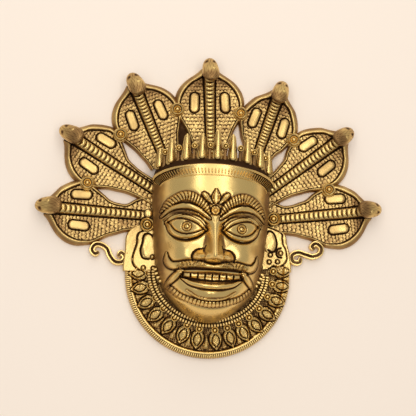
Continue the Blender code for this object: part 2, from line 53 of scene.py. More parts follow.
MM = 0.001
WALL = 4.0
CENTRE_SHIFT = (-1.8, -2.1)
FACE_X = 2.6
FACE_ROLL = math.radians(-2.5)
FACE_SHAPE = 2.25
CHIN_Y = -118.0
CROWN_PEAK_Y = 36.5
CROWN_EDGE_Y = 19.6
LEAN_FROM = -14.0
HEAD_WIDTH = [(-118, 3), (-115, 12), (-109, 23), (-100, 34), (-90, 43), (-78, 49), (-60, 54),
              (-35, 57.5), (0, 59.5), (70, 60)]
HEAD_HEIGHT = [(-118, 6), (-115, 26), (-109, 44), (-102, 53), (-94, 57), (-80, 59), (-55, 60),
               (-30, 60), (0, 61), (40, 60)]
CROWN_SLOPE = [(0.0, 1.0, 0, 1.0), (0.35, 1.0, 7, 0.9), (0.75, 0.97, 13, 0.58), (1.0, 0.93, 17, 0.1)]

HOODS = {
    "left_low": ((-174.6, 0.4), (-52.6, -8.9)),
    "left_mid": ((-150.9, 79.8), (-50.7, 15.6)),
    "left_high": ((-80.2, 138.1), (-44.8, 50.7)),
    "centre": ((1.2, 155.9), (2.9, 51.5)),
    "right_high": ((78.1, 133.2), (48.7, 49.3)),
    "right_mid": ((149.7, 83.4), (59.3, 16.3)),
    "right_low": ((178.2, 1.0), (59.1, -11.2)),
}
PLATE_START = 10.0
BROAD = [(10, 8), (13, 11), (16, 15), (20, 21), (24, 26), (30, 31), (37, 34.5), (45, 36), (53, 35),
         (61, 33), (68, 29), (76, 24.5), (84, 21.5), (92, 18.5), (106, 16), (125, 15)]
NARROW = [(10, 7.5), (13, 10), (16, 12.8), (20, 17.5), (24, 22), (30, 26), (37, 29.5), (45, 31.5)]
SLIM_WAIST = NARROW + [(55, 28), (62, 23), (69, 18), (76, 13), (84, 11)]
SLIM = SLIM_WAIST + [(92, 10), (104, 10), (125, 10)]
SLIM_LOW = SLIM_WAIST + [(92, 11), (100, 16), (110, 20), (125, 20)]
MEDIUM_WAIST = NARROW + [(55, 30), (62, 26.5), (69, 23), (76, 18), (84, 15.7), (92, 13.8)]
MEDIUM = MEDIUM_WAIST + [(104, 13), (125, 13)]
MEDIUM_LOW = MEDIUM_WAIST + [(100, 14), (108, 18), (116, 21), (125, 21)]
HOOD_SIDES = {
    "left_low": (BROAD, SLIM_LOW),
    "left_mid": (BROAD, SLIM),
    "left_high": (BROAD, BROAD),
    "centre": (BROAD, BROAD),
    "right_high": (MEDIUM, MEDIUM),
    "right_mid": (MEDIUM, BROAD),
    "right_low": (MEDIUM_LOW, BROAD),
}
ROSETTES = [(-121.9, 24.1), (-89.1, 74.2), (-31.5, 101.5), (33.5, 98.7), (88.1, 72.2), (123.9, 20.9)]

BAND_INNER = (53.5, 15.0, 10.2)
BAND_OUTER = (61.5, 23.0, 13.4)
BAND_DROP = 3.0

COLLAR_CENTRE = (0.0, -67.8)
COLLAR_RADIUS = 83.2
COLLAR_START = 168.0
COLLAR_END = 372.0


# Curves and small shapes, on whole arrays at once

def along(keys, at):
    """Smooth curve through (position, value) keys."""
    place, value = np.array(keys, float).T
    slope = np.gradient(value, place) if len(place) < 3 else np.empty(len(place))
    if len(place) > 2:
        slope[1:-1] = (value[2:] - value[:-2]) / (place[2:] - place[:-2])
        slope[0] = (value[1] - value[0]) / (place[1] - place[0])
        slope[-1] = (value[-1] - value[-2]) / (place[-1] - place[-2])
    at = np.clip(at, place[0], place[-1])
    spot = np.clip(np.searchsorted(place, at, side="right") - 1, 0, len(place) - 2)
    step = place[spot + 1] - place[spot]
    t = (at - place[spot]) / step
    rise = t * t * (3 - 2 * t)
    lead = t * (1 - t) ** 2 * slope[spot]
    tail = t * t * (1 - t) * slope[spot + 1]
    return value[spot] + (value[spot + 1] - value[spot]) * rise + step * (lead - tail)


def hill(across, up=0.0):
    """Smooth mound that is 1 in the middle and 0 from distance 1 on."""
    reach = np.minimum(1.0, np.hypot(across, up))
    return (1 - reach) ** 2 * (1 + 2 * reach)


def roll(share):
    """Round top of a bar: 1 on its middle line and 0 from its edge on."""
    return np.sqrt(np.clip(1 - share ** 2, 0, 1))


def step_up(low, high, at):
    """0 below low, 1 above high, smooth between."""
    t = np.clip((at - low) / (high - low), 0, 1)
    return t * t * (3 - 2 * t)


def spread(points, count):
    """Evenly spaced points on the smooth curve through a few given ones."""
    spots = np.linspace(0, len(points) - 1, count)
    return np.stack([along(list(enumerate(line)), spots) for line in zip(*points)], 1)


def stroke(x, y, points, radii, count=40):
    """Distance from a path over its half width, length along it, and distance to its left."""
    path = spread(points, count)
    wide = spread([(r,) for r in radii], count)[:, 0]
    share = np.full(x.shape, 9.0)
    run = np.zeros(x.shape)
    side = np.zeros(x.shape)
    reach = 3 * max(radii) + 3
    near = np.nonzero((x > path[:, 0].min() - reach) & (x < path[:, 0].max() + reach)
                      & (y > path[:, 1].min() - reach) & (y < path[:, 1].max() + reach))
    px, py = x[near], y[near]
    best = np.full(px.shape, 1e9)
    gained = [share[near], run[near], side[near]]
    done = 0.0
    for i in range(count - 1):
        way = path[i + 1] - path[i]
        length = np.hypot(*way)
        if length < 1e-9:
            continue
        way = way / length
        dx, dy = px - path[i, 0], py - path[i, 1]
        t = np.clip(dx * way[0] + dy * way[1], 0, length)
        apart = np.hypot(dx - way[0] * t, dy - way[1] * t)
        half = wide[i] + (wide[i + 1] - wide[i]) * t / length
        better = apart < best
        best[better] = apart[better]
        gained[0][better] = (apart / half)[better]
        gained[1][better] = (done + t)[better]
        gained[2][better] = (dy * way[0] - dx * way[1])[better]
        done += length
    share[near], run[near], side[near] = gained
    return share, run, side


# Meshes

def place_all(points, matrix=None):
    """Millimetres in a piece's own frame to metres in the mask's frame."""
    points = np.asarray(points, float).reshape(-1, 3)
    if matrix is not None:
        turn = np.array(matrix)
        points = points @ turn[:3, :3].T + turn[:3, 3]
    return (points + [*CENTRE_SHIFT, 0]) * MM


def add_mesh(name, points, faces, matrix=None):
    """One closed mesh object with its faces turned outward."""
    mesh = bpy.data.meshes.new(name)
    mesh.from_pydata(place_all(points, matrix).tolist(), [], faces)
    work = bmesh.new()
    work.from_mesh(mesh)
    bmesh.ops.recalc_face_normals(work, faces=work.faces)
    work.to_mesh(mesh)
    work.free()
    piece = bpy.data.objects.new(name, mesh)
    bpy.context.scene.collection.objects.link(piece)
    return piece


def grid_faces(rows, cols, start=0):
    """Quads of a grid of points."""
    low = (start + np.arange(rows - 1)[:, None] * cols + np.arange(cols - 1)).ravel()
    return np.stack([low, low + 1, low + cols + 1, low + cols], 1).tolist()


def grid_rim(rows, cols, start=0):
    """The points round a grid, in order."""
    index = start + np.arange(rows * cols).reshape(rows, cols)
    return np.concatenate([index[0, :-1], index[:-1, -1], index[-1, :0:-1], index[:0:-1, 0]])


def slab(name, top, matrix=None):
    """Carved plate: a grid of points on top, straight walls and a flat back at Z = 0."""
    rows, cols = top.shape[:2]
    points = top.reshape(-1, 3)
    rim = grid_rim(rows, cols)
    foot = points[rim] * [1, 1, 0]
    under = np.arange(len(rim)) + len(points)
    walls = np.stack([rim, np.roll(rim, -1), np.roll(under, -1), under], 1).tolist()
    faces = grid_faces(rows, cols) + walls + [under.tolist()]
    return add_mesh(name, np.concatenate([points, foot]), faces, matrix)


def loft(name, rings, matrix=None):
    """Closed body through rings that have the same number of points."""
    rings = np.asarray(rings, float)
    spans, count = rings.shape[:2]
    low = (np.arange(spans - 1)[:, None] * count + np.arange(count)).ravel()
    after = (np.arange(spans - 1)[:, None] * count + (np.arange(count) + 1) % count).ravel()
    faces = np.stack([low, after, after + count, low + count], 1).tolist()
    faces.append(list(range(count)))
    faces.append(list(range((spans - 1) * count, spans * count)))
    return add_mesh(name, rings.reshape(-1, 3), faces, matrix)


def sweep(name, path, section, sizes, matrix=None):
    """A section of (side, up) points carried along a path, its size changing on the way."""
    path = np.asarray(path, float)
    way = np.gradient(path, axis=0)
    side = np.cross(way, [0, 0, 1.0])
    side /= np.linalg.norm(side, axis=1, keepdims=True)
    up = np.cross(side, way)
    up /= np.linalg.norm(up, axis=1, keepdims=True)
    section = np.asarray(section, float)
    sizes = np.asarray(sizes, float)[:, None, None]
    across = side[:, None] * section[None, :, :1] + up[:, None] * section[None, :, 1:]
    return loft(name, path[:, None] + sizes * across, matrix)


def round_section(sides):
    """Points of a round bar's section."""
    turns = np.arange(sides) / sides * 2 * math.pi
    return np.stack([np.cos(turns), np.sin(turns)], 1)


def begin(piece=None):
    """Nothing selected but the piece, so that the next operator acts on it alone."""
    if bpy.context.mode != "OBJECT":
        bpy.ops.object.mode_set(mode="OBJECT")
    bpy.ops.object.select_all(action="DESELECT")
    if piece:
        piece.select_set(True)
        bpy.context.view_layer.objects.active = piece


def turned(name, levels, sides):
    """A disc drawn up level by level: each level is its radius, its height and, if given, its depth."""
    levels = [(level[0], level[1], level[-1] if len(level) > 2 else level[0]) for level in levels]
    wide, high, deep = levels[0]
    begin()
    bpy.ops.mesh.primitive_circle_add(vertices=sides, radius=wide, fill_type="NGON", location=(0, 0, high))
    piece = bpy.context.object
    piece.name = piece.data.name = name
    bpy.ops.object.mode_set(mode="EDIT")
    bpy.ops.transform.resize(value=(1, deep / wide, 1))
    for below, level in zip(levels, levels[1:]):
        wide, rise, deep = level[0] / below[0], level[1] - below[1], level[2] / below[2]
        bpy.ops.mesh.extrude_region_move(TRANSFORM_OT_translate={"value": (0, 0, rise)})
        bpy.ops.transform.resize(value=(wide, deep, 1))
    bpy.ops.mesh.select_all(action="SELECT")
    bpy.ops.mesh.normals_make_consistent(inside=False)
    bpy.ops.object.mode_set(mode="OBJECT")
    bpy.ops.object.transform_apply(location=True, rotation=True, scale=True)
    return piece


def groove_soil(piece, grooves, strength=0.8):
    """Soil in the grooves of a turned shape, given by their radii."""
    reach = 0.3
    radius = np.array([math.hypot(v.co.x, v.co.y) for v in piece.data.vertices])
    return strength * np.max([hill((radius - groove) / reach) for groove in grooves], axis=0)


def joined(name, pieces):
    """Several meshes made one piece."""
    begin()
    for piece in pieces:
        piece.select_set(True)
    bpy.context.view_layer.objects.active = pieces[0]
    if len(pieces) > 1:
        bpy.ops.object.join()
    piece = bpy.context.object
    piece.name = piece.data.name = name
    return piece


def copies(name, pattern, places, matrix=None):
    """The pattern piece, in millimetres, copied to each place with a mesh of its own."""
    made = []
    for spot in places:
        mesh = pattern.data.copy()
        mesh.transform(spot if matrix is None else matrix @ spot)
        points = np.empty(len(mesh.vertices) * 3)
        mesh.vertices.foreach_get("co", points)
        mesh.vertices.foreach_set("co", place_all(points).ravel())
        mesh.update()
        copy = bpy.data.objects.new(name, mesh)
        bpy.context.scene.collection.objects.link(copy)
        made.append(copy)
    bpy.data.objects.remove(pattern)
    return joined(name, made)


def at(x, y, z, turn=0.0, size=1.0):
    """Where a copy goes: its place, its turn about Z and its size."""
    return Matrix.Translation((x, y, z)) @ Matrix.Rotation(turn, 4, "Z") @ Matrix.Scale(size, 4)


# Finish

def brass_finish(finish):
    """Polished golden brass, turning amber and then dark brown as the patina attribute rises; that attribute holds the
    brown oxide of the hollows and, in some places, painted shade.
    """
    material = bpy.data.materials.get("brass with brown oxide and painted shade")
    if material:
        return material
    material = bpy.data.materials.new("brass with brown oxide and painted shade")
    material.use_nodes = True
    nodes = material.node_tree.nodes
    links = material.node_tree.links
    shader = nodes["Principled BSDF"]
    patina_and_shade = nodes.new("ShaderNodeAttribute")
    patina_and_shade.attribute_name = "patina_and_shade"
    place = nodes.new("ShaderNodeTexCoord")
    clouds = nodes.new("ShaderNodeTexNoise")
    clouds.inputs["Scale"].default_value = 55.0
    clouds.inputs["Detail"].default_value = 5.0
    grain = nodes.new("ShaderNodeTexNoise")
    grain.inputs["Scale"].default_value = 900.0
    grain.inputs["Detail"].default_value = 3.0
    for noise in (clouds, grain):
        links.new(place.outputs["Object"], noise.inputs["Vector"])

    uneven = nodes.new("ShaderNodeMapRange")
    uneven.inputs["From Min"].default_value = 0.3
    uneven.inputs["From Max"].default_value = 0.7
    uneven.inputs["To Min"].default_value = -0.12
    uneven.inputs["To Max"].default_value = 0.12
    links.new(clouds.outputs["Fac"], uneven.inputs["Value"])
    soiled = nodes.new("ShaderNodeMath")
    soiled.operation = "ADD"
    soiled.use_clamp = True
    links.new(patina_and_shade.outputs["Fac"], soiled.inputs[0])
    links.new(uneven.outputs["Result"], soiled.inputs[1])

    # The ramp gives the same amber and dark brown to patina and to painted shade.
    tones = nodes.new("ShaderNodeValToRGB")
    ramp = tones.color_ramp
    ramp.elements[0].position = 0.08
    ramp.elements[0].color = (*finish.brass_colour, 1)
    ramp.elements[1].position = 0.82
    ramp.elements[1].color = (*finish.patina_and_shade_colour, 1)
    middle = ramp.elements.new(0.42)
    middle.color = (*finish.amber_colour, 1)
    links.new(soiled.outputs[0], tones.inputs["Fac"])
    links.new(tones.outputs["Color"], shader.inputs["Base Color"])

    dull = nodes.new("ShaderNodeMapRange")
    dull.inputs["To Min"].default_value = finish.polish
    dull.inputs["To Max"].default_value = 0.75
    links.new(soiled.outputs[0], dull.inputs["Value"])
    links.new(dull.outputs["Result"], shader.inputs["Roughness"])
    shader.inputs["Metallic"].default_value = 1.0

    bump = nodes.new("ShaderNodeBump")
    bump.inputs["Strength"].default_value = 0.12
    bump.inputs["Distance"].default_value = 0.0003
    links.new(grain.outputs["Fac"], bump.inputs["Height"])
    links.new(bump.outputs["Normal"], shader.inputs["Normal"])
    return material


def hollows(mesh, reach, depth):
    """How far each vertex lies under the evened surface: 0 outside the hollows, 1 at the depth."""
    count = len(mesh.vertices)
    spot = np.empty(count * 3)
    mesh.vertices.foreach_get("co", spot)
    spot = spot.reshape(-1, 3) / MM
    normal = np.empty(count * 3)
    mesh.vertex_normals.foreach_get("vector", normal)
    ends = np.empty(len(mesh.edges) * 2, int)
    mesh.edges.foreach_get("vertices", ends)
    first, second = ends.reshape(-1, 2).T
    length = np.linalg.norm(spot[first] - spot[second], axis=1)
    rounds = int(np.clip(2 * (reach / max(np.median(length), 0.05)) ** 2, 2, 60))
    weight = np.maximum(np.bincount(first, minlength=count) + np.bincount(second, minlength=count), 1)
    even = spot.copy()
    for _ in range(rounds):
        for axis in range(3):
            total = np.bincount(first, even[second, axis], count)
            total = total + np.bincount(second, even[first, axis], count)
            even[:, axis] = (even[:, axis] + total / weight) / 2
    sunk = ((even - spot) * normal.reshape(-1, 3)).sum(1)
    return np.clip(sunk / depth, 0, 1)


def finished(piece, dark=(), reach=1.8, depth=0.55):
    """Shade smooth, darken the hollows, add the given dark marks, some of them painted shade, dress in brass and fix to
    the mask.
    """
    begin(piece)
    bpy.ops.object.shade_smooth_by_angle(angle=math.radians(40))
    mesh = piece.data
    darkening = hollows(mesh, reach, depth)
    # The given marks add patina and, for some pieces, painted shade.
    darkening[:len(dark)] += dark
    # The attribute holds patina and painted shade alike.
    layer = mesh.attributes.new("patina_and_shade", "FLOAT", "POINT")
    layer.data.foreach_set("value", np.clip(darkening, 0, 1).astype(np.float32))
    mesh.materials.clear()
    mesh.materials.append(brass_finish(bpy.context.scene.mask_finish))
    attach(piece, "root")
    return piece


# The head

FACE_FRAME = Matrix.Translation((FACE_X, 0, 0)) @ Matrix.Rotation(FACE_ROLL, 4, "Z")


def in_face(x, y):
    """Mask coordinates to the face's own."""
    dx = x - FACE_X
    turn = -FACE_ROLL
    return dx * math.cos(turn) - y * math.sin(turn), dx * math.sin(turn) + y * math.cos(turn)


def inside_head(x, y, inset=2.0):
    """Whether a point of the back plane lies under the head."""
    fx, fy = in_face(x, y)
    foot = CROWN_EDGE_Y + CROWN_SLOPE[-1][2]
    top = foot + (CROWN_PEAK_Y - CROWN_EDGE_Y) * np.sqrt(np.clip(1 - (fx / 60) ** 2, 0, 1))
    return (np.abs(fx) < along(HEAD_WIDTH, fy) - inset) & (fy > CHIN_Y + inset) & (fy < top - inset)


# Soft mounds and hollows of the face: height, centre, and reach along X and Y. Those off the middle come in pairs
SOCKET = (-6.0, (27, -26), (25, 17))
FOREHEAD = (2.5, (26, 1), (28, 12))
CHEEK = (5.0, (32, -53), (22, 17))
UPPER_LIP = (5.0, (0, -66), (34, 15))
MOUTH_HOLLOW = (-6.0, (0, -75), (34, 9))
LOWER_LIP = (3.0, (0, -83), (30, 9))
CHIN_BALL = (3.0, (0, -96), (19, 13))
NOSTRIL = (10.0, (12, -56), (9, 8))
MOUNDS = (SOCKET, FOREHEAD, CHEEK, UPPER_LIP, MOUTH_HOLLOW, LOWER_LIP, CHIN_BALL, NOSTRIL)
EYEBALL = (7.5, (27, -26.5), (18.5, 11.5))
NOSE_HEIGHT = [(-63, 0), (-61, 8), (-58, 18), (-54, 20), (-45, 15), (-33, 9), (-22, 5), (-13, 0)]
NOSE_WIDTH = [(-61, 13), (-54, 13), (-38, 9.5), (-20, 10)]


def plain_relief(x, y):
    """Broad forms: sockets, eyeballs, cheeks, nose, mouth and chin."""
    a = np.abs(x)
    add = along(NOSE_HEIGHT, y) * hill(a / along(NOSE_WIDTH, y))
    for height, (cx, cy), (wide, tall) in MOUNDS:
        add += height * hill((a - cx) / wide, (y - cy) / tall)
    height, (cx, cy), (wide, tall) = EYEBALL
    add += height * np.sqrt(np.clip(1 - ((a - cx) / wide) ** 2 - ((y - cy) / tall) ** 2, 0, 1))
    return add


def bar(x, y, points, radii, height, groove=0.0, hatch=None):
    """A raised roll along a path, with a groove at its foot and hatching on its back."""
    share, run, side = stroke(x, y, points, radii)
    top = height * roll(share)
    if hatch:
        pitch, slant, deep, start, stop = hatch
        wave = 0.5 - 0.5 * np.cos(2 * math.pi * (run + slant * side) / pitch)
        span = step_up(start - 1, start + 1, run) * (1 - step_up(stop - 1, stop + 1, run))
        top -= deep * wave ** 3 * span * (share < 1)
    width = 1.1 * len(radii) / sum(radii)
    top -= groove * np.exp(-((share - 1.0 - 0.3 * width) / width) ** 2) * (share > 0.8)
    return top


# Rolls and cut lines of the face: path, half widths, height, groove at the foot and, where hatched,
# (pitch, slant, depth, from, to). Each of the first lot comes on both sides
PAIRED_ROLLS = {
    "brow": ([(5.5, -14), (14, -3.5), (28.4, 3.4), (42, -1.6), (51.5, -10.5)],
             [1.2, 4.4, 4.8, 4.7, 4.6, 4.0, 1.2], 2.2, 1.1, (3.0, -0.25, 2.1, 1, 66)),
    "lid fold": ([(5.2, -18.5), (17, -9.5), (31.5, -6.6), (43, -9.0), (51, -15.5)],
                 [1.2, 2.2, 2.7, 2.6, 2.3, 1.3], 2.6, 1.8),
    "lid line": ([(7, -24), (17, -15.6), (30, -12.2), (41, -13.2), (49, -19)],
                 [0.6, 1.0, 1.2, 1.1, 0.7], -1.6),
    "upper lid": ([(8.5, -29.5), (17, -21.6), (30, -16.6), (39.5, -17), (46.5, -21.5)],
                  [1.1, 1.7, 2.0, 1.9, 1.1], 2.0, 1.5),
    "lower lid": ([(8.5, -29.5), (18, -35.0), (29, -36.8), (39, -32.5), (46.5, -21.5)],
                  [1.1, 2.0, 2.4, 2.2, 1.2], 1.9, 1.7),
    "nose line": ([(7.8, -45), (9.6, -50), (8.6, -54), (9.4, -59)], [0.5, 1.0, 1.0, 0.7], -1.8),
    "nostril line": ([(10, -47.6), (16.5, -49.5), (20.6, -54.5), (20.0, -60.5)], [0.5, 1.1, 1.2, 0.8], -2.0),
    "nostril": ([(7.5, -61), (11, -59.4), (15.5, -61.4)], [0.6, 1.2, 0.7], -1.8),
    "moustache": ([(1, -65.6), (10, -64.4), (20, -63.2), (33, -64.6), (40, -63.6), (44, -58.5), (44.8, -51.5)],
                  [2.2, 2.9, 3.5, 3.6, 3.2, 2.6, 0.7], 3.0, 1.6, (1.55, 0.8, 1.6, 7, 34)),
    "tusk": ([(30.4, -69.6), (34.6, -74), (39.4, -79), (43.8, -84)], [2.5, 3.2, 2.9, 1.3], 4.6, 0.9),
    "petal": ([(3.8, -3.5), (7.0, 0.0), (10.0, 3.4), (11.6, 5.2)], [1.0, 2.2, 2.7, 2.1], 2.2, 1.1),
    "petal line": ([(4.6, -2.2), (7.0, 0.8), (9.2, 3.6)], [0.3, 0.5, 0.4], -1.0),
    "frown": ([(3.6, -14.5), (2.4, -18), (1.2, -22)], [0.5, 0.6, 0.4], -0.6),
}
MIDDLE_ROLLS = {
    "upper lip": ([(-34, -69.3), (-18, -70.2), (0, -70.0), (18, -70.2), (34, -69.3)],
                  [0.8, 1.2, 1.3, 1.2, 0.8], 1.6, 1.1),
    "lower lip": ([(-29, -76.8), (-18, -82.2), (0, -84.6), (18, -82.2), (29, -76.8)],
                  [0.9, 2.0, 2.5, 2.6, 2.5, 2.0, 0.9], 2.8, 1.5),
    "chin line": ([(-24, -88), (-13, -95.0), (0, -97.2), (13, -95.0), (24, -88)],
                  [0.6, 1.0, 1.2, 1.0, 0.6], 1.2, 0.4),
    "beard": ([(-41, -84), (-26, -95), (0, -101.2), (26, -95), (41, -84)],
              [2.2, 2.5, 2.6, 2.5, 2.2], 2.2, 1.2, (3.7, 0.0, 2.2, 0, 96)),
}
PUPIL = (26.9, -26.7)
FOREHEAD_MARK_Y = -10.0
TEETH_TOP = -71.6
TEETH_BOTTOM = -78.2
TOOTH_PITCH = 7.0
LEAF_WIDTH = [(-4, 0.6), (-1.5, 3.0), (1.5, 4.3), (4.5, 4.0), (8, 2.2), (11.5, 0.3)]


def rings(apart, heights):
    """Ridges and grooves round a point: each is its height, its radius and its half width."""
    return sum(height * hill((apart - radius) / wide) for height, radius, wide in heights)


def teeth(x, y):
    """Row of square teeth in the sunk mouth, over a curved lower lip."""
    a = np.abs(x)
    lip = TEETH_BOTTOM + (x / 30) ** 2 * 3.4
    mouth = step_up(0, 1.2, TEETH_TOP - y) * step_up(0, 1.5, y - lip + 2.4) * (1 - step_up(29, 31.5, a))
    wave = np.abs((x / TOOTH_PITCH) % 1 - 0.5) * 2
    tooth = (1 - step_up(0.72, 0.92, wave)) * step_up(TEETH_TOP, TEETH_TOP - 0.8, y) * step_up(0, 0.9, y - lip)
    proud = 3.6 - 0.5 * np.abs(y + 74.5)
    return proud * tooth * (1 - step_up(28.6, 29.6, a)) - 2.6 * mouth


def fine_relief(x, y):
    """Carved lines of the face."""
    a = np.abs(x)
    lined = teeth(x, y)
    for roll_of_pair in PAIRED_ROLLS.values():
        lined += bar(a, y, *roll_of_pair)
    for middle_roll in MIDDLE_ROLLS.values():
        lined += bar(x, y, *middle_roll)
    eye = np.hypot(a - PUPIL[0], y - PUPIL[1])
    lined += rings(eye, [(0.9, 3.4, 1.0), (-1.1, 4.7, 0.8), (-0.9, 2.3, 0.7), (0.9, 0, 1.7)])
    mark = np.hypot(x, y - FOREHEAD_MARK_Y)
    lined += rings(mark, [(1.3, 3.3, 1.1), (1.8, 0, 1.9), (-1.3, 4.9, 1.0)])
    lined += 2.4 * hill(x / 19, (y + 90.5) / 5.5)

    leaf = along(LEAF_WIDTH, y)
    span = step_up(-4.5, -3.5, y) * (1 - step_up(11.0, 12.0, y))
    edges = 1.2 * hill((a / leaf - 0.55) / 0.22) + 1.5 * hill((a - leaf - 0.5) / 0.9)
    return lined + span * (1.9 * roll(a / leaf) - edges)


def dome(x, y):
    """Height of the plain head under its features."""
    width = along(HEAD_WIDTH, y)
    share = np.minimum(1.0, np.abs(x) / width)
    return along(HEAD_HEIGHT, y) * (1 - share ** FACE_SHAPE) ** (1 / FACE_SHAPE)


def head_grid(fronts, shares, wall=0.0):
    """Rows of points over the head; each row's length position leans with its height."""
    front = fronts[:, None]
    share = np.broadcast_to(shares[None, :], (len(fronts), len(shares)))
    x = (along(HEAD_WIDTH, front) - wall) * share
    rise = (1 - np.abs(share) ** FACE_SHAPE) ** (1 / FACE_SHAPE)
    lean = np.maximum(0.0, (front - LEAN_FROM) / (CROWN_PEAK_Y - LEAN_FROM)) * (CROWN_PEAK_Y - CROWN_EDGE_Y)
    y = front - lean + lean * rise
    fade = np.clip((1 - np.abs(x) / along(HEAD_WIDTH, y)) / 0.12, 0, 1)
    z = dome(x, y) + plain_relief(x, y) * fade
    if wall:
        z = np.maximum(z - wall, 0)
    else:
        z += fine_relief(x, y) * fade
    z[:, [0, -1]] = 0
    return np.stack([x, y, z], 2)


def face_patina_and_shade(x, y):
    """Dark tone of the face: painted shade towards the sides of the head, brown oxide in the folds of the features, and
    that oxide with painted shade in the recess behind the crown band.
    """
    a = np.abs(x)
    side = a / along(HEAD_WIDTH, y)
    # Painted shade, darker towards the sides of the head and half as strong low on the jaw.
    darkening = 0.5 * step_up(0.7, 0.97, side) * (1 - 0.5 * step_up(-60, -100, y))
    darkening += 0.25 * hill((a - 33) / 16, (y + 11) / 4)
    darkening += 0.45 * hill(x / 30, (y + 79.5) / 3.5)
    # Patina with painted shade in the recess behind the crown band.
    half, foot, rise = BAND_OUTER
    beyond = np.hypot(x / half, (y - foot) / rise)
    darkening += (0.9 * step_up(0.9, 1.02, beyond) - 0.5 * step_up(1.2, 1.7, beyond)) * (y > foot)
    return darkening


def down_to_back(rows, ends, far):
    """The rows closed by a row in the back plane at each end."""
    first = rows[:1] * [1, 1, 0] - [0, far, 0]
    last = ends[-1:] * [1, 1, 0] + [0, far, 0]
    return np.concatenate([first, rows, ends, last])


def even_rows(count, low, high):
    """Length positions that are evenly spaced over the head's profile."""
    y = np.linspace(low, high, 2000)
    run = np.concatenate([[0], np.cumsum(np.hypot(np.diff(y), np.diff(along(HEAD_HEIGHT, y))))])
    return np.interp(np.linspace(0, run[-1], count), run, y)


def head_shell(count_y, count_x, wall):
    """Outer or inner face of the head, down to the back plane all round."""
    low, high = (CHIN_Y, CROWN_PEAK_Y) if not wall else (CHIN_Y + 6, CROWN_PEAK_Y - 4)
    shares = np.sin(np.linspace(-math.pi / 2, math.pi / 2, count_x))
    rows = head_grid(even_rows(count_y, low, high), shares, wall)
    arch = rows[-1]
    ends = []
    for t in np.linspace(0, 1, 12)[1:]:
        wide, up, high = (along([(key[0], key[k]) for key in CROWN_SLOPE], t) for k in (1, 2, 3))
        up -= wall * 1.2 * t
        ends.append(arch * [wide, 1, high] + [0, up, 0])
    return down_to_back(rows, np.array(ends), 0.3)


def make_face():
    """The carved head, hollow inside with an even wall."""
    outer = head_shell(310, 268, 0.0)
    inner = head_shell(60, 48, WALL)
    points = np.concatenate([outer.reshape(-1, 3), inner.reshape(-1, 3)])
    offset = outer.shape[0] * outer.shape[1]
    faces = grid_faces(*outer.shape[:2]) + [f[::-1] for f in grid_faces(*inner.shape[:2], offset)]
    mesh = bpy.data.meshes.new("face")
    mesh.from_pydata(place_all(points, FACE_FRAME).tolist(), [], faces)
    piece = bpy.data.objects.new("face", mesh)
    bpy.context.scene.collection.objects.link(piece)
    begin(piece)
    rim = np.zeros(len(mesh.edges), bool)
    work = bmesh.new()
    work.from_mesh(mesh)
    for edge in work.edges:
        rim[edge.index] = edge.is_boundary
    work.free()
    bpy.ops.object.mode_set(mode="EDIT")
    bpy.ops.mesh.select_mode(type="EDGE")
    bpy.ops.mesh.select_all(action="DESELECT")
    bpy.ops.object.mode_set(mode="OBJECT")
    mesh.edges.foreach_set("select", rim)
    bpy.ops.object.mode_set(mode="EDIT")
    bpy.ops.mesh.bridge_edge_loops()
    bpy.ops.mesh.select_all(action="SELECT")
    bpy.ops.mesh.normals_make_consistent(inside=False)
    bpy.ops.object.mode_set(mode="OBJECT")
    if mesh.vertices[offset // 2].normal.z < 0:
        mesh.flip_normals()
    # The inner face gets an even dark tone; the outer face gets patina in the folds and painted shade at the sides and
    # behind the band.
    darkening = np.full(len(points), 0.45)
    darkening[:offset] = face_patina_and_shade(points[:offset, 0], points[:offset, 1])
    finished(piece, darkening, reach=2.0, depth=0.75)
    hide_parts("mask")
    return piece


# The crown

BAND_PROFILE = [(-0.1, -0.6), (-0.07, 0.8), (-0.02, 1.3), (0.04, 0.8), (0.08, 0.0), (0.14, 0.5), (0.66, 0.9),
                (0.73, 0.0), (0.78, 1.4), (0.87, 2.3), (0.95, 1.8), (1.0, 0.4)]
SPIKE_TURNS = [-0.76, -0.54, -0.34, -0.164, 0.0, 0.164, 0.34, 0.54, 0.76]
SPIKE_TALL = [0.74, 0.89, 0.97, 0.9, 1.08, 0.97, 0.93, 0.82, 0.9]
BUD = [(2.2, -2.6), (3.0, -1.6), (3.4, 0), (3.3, 2.5), (3.0, 6), (2.7, 10), (2.4, 14), (2.0, 18), (1.6, 21.5),
       (1.1, 23.6), (0.5, 24.6)]
BUD_FORWARD = 2.4
SHADOW_RING = [(2.9, -3.4, 2.4), (3.9, -2.4, 3.1), (4.3, 0, 3.3), (4.1, 3, 3.1), (3.6, 8, 2.9), (3.1, 14, 2.6),
       (2.6, 19, 2.3), (1.9, 22.4, 1.8), (0.9, 23.4, 0.9)]
SHEATH = [(3.6, -4.6, 1.4), (4.8, -3.4, 2.2), (5.2, -1, 2.5), (5.0, 3, 2.4), (4.4, 8, 2.2), (3.8, 14, 1.9),
          (3.2, 19, 1.6), (2.5, 22.6, 1.3), (1.2, 24, 0.8)]
RING_BEAD = [(3.4, -3.6), (3.6, -1.0), (3.6, 0.3), (3.3, 1.3), (2.8, 1.6), (2.3, 1.2), (1.9, 0.3), (1.6, 0.3),
             (1.2, 1.3), (0.8, 1.7), (0.3, 1.8)]
RING_GROOVES = (1.9, 1.6, 3.6)
RING_POST = [(2.2, -4), (1.8, 0), (1.6, 10)]


def band_point(turn, across, lift):
    """Points on the crown band: turn runs from -1 to 1 round the forehead, across from 0 at its inner edge to 1."""
    angle = turn * math.pi / 2
    half, foot, rise = (a + (b - a) * across for a, b in zip(BAND_INNER, BAND_OUTER))
    height = dome(BAND_INNER[0] * np.sin(angle), CROWN_PEAK_Y) - BAND_DROP * across + lift
    points = np.broadcast_arrays(half * np.sin(angle), foot + rise * np.cos(angle), height)
    return np.stack(points, -1)


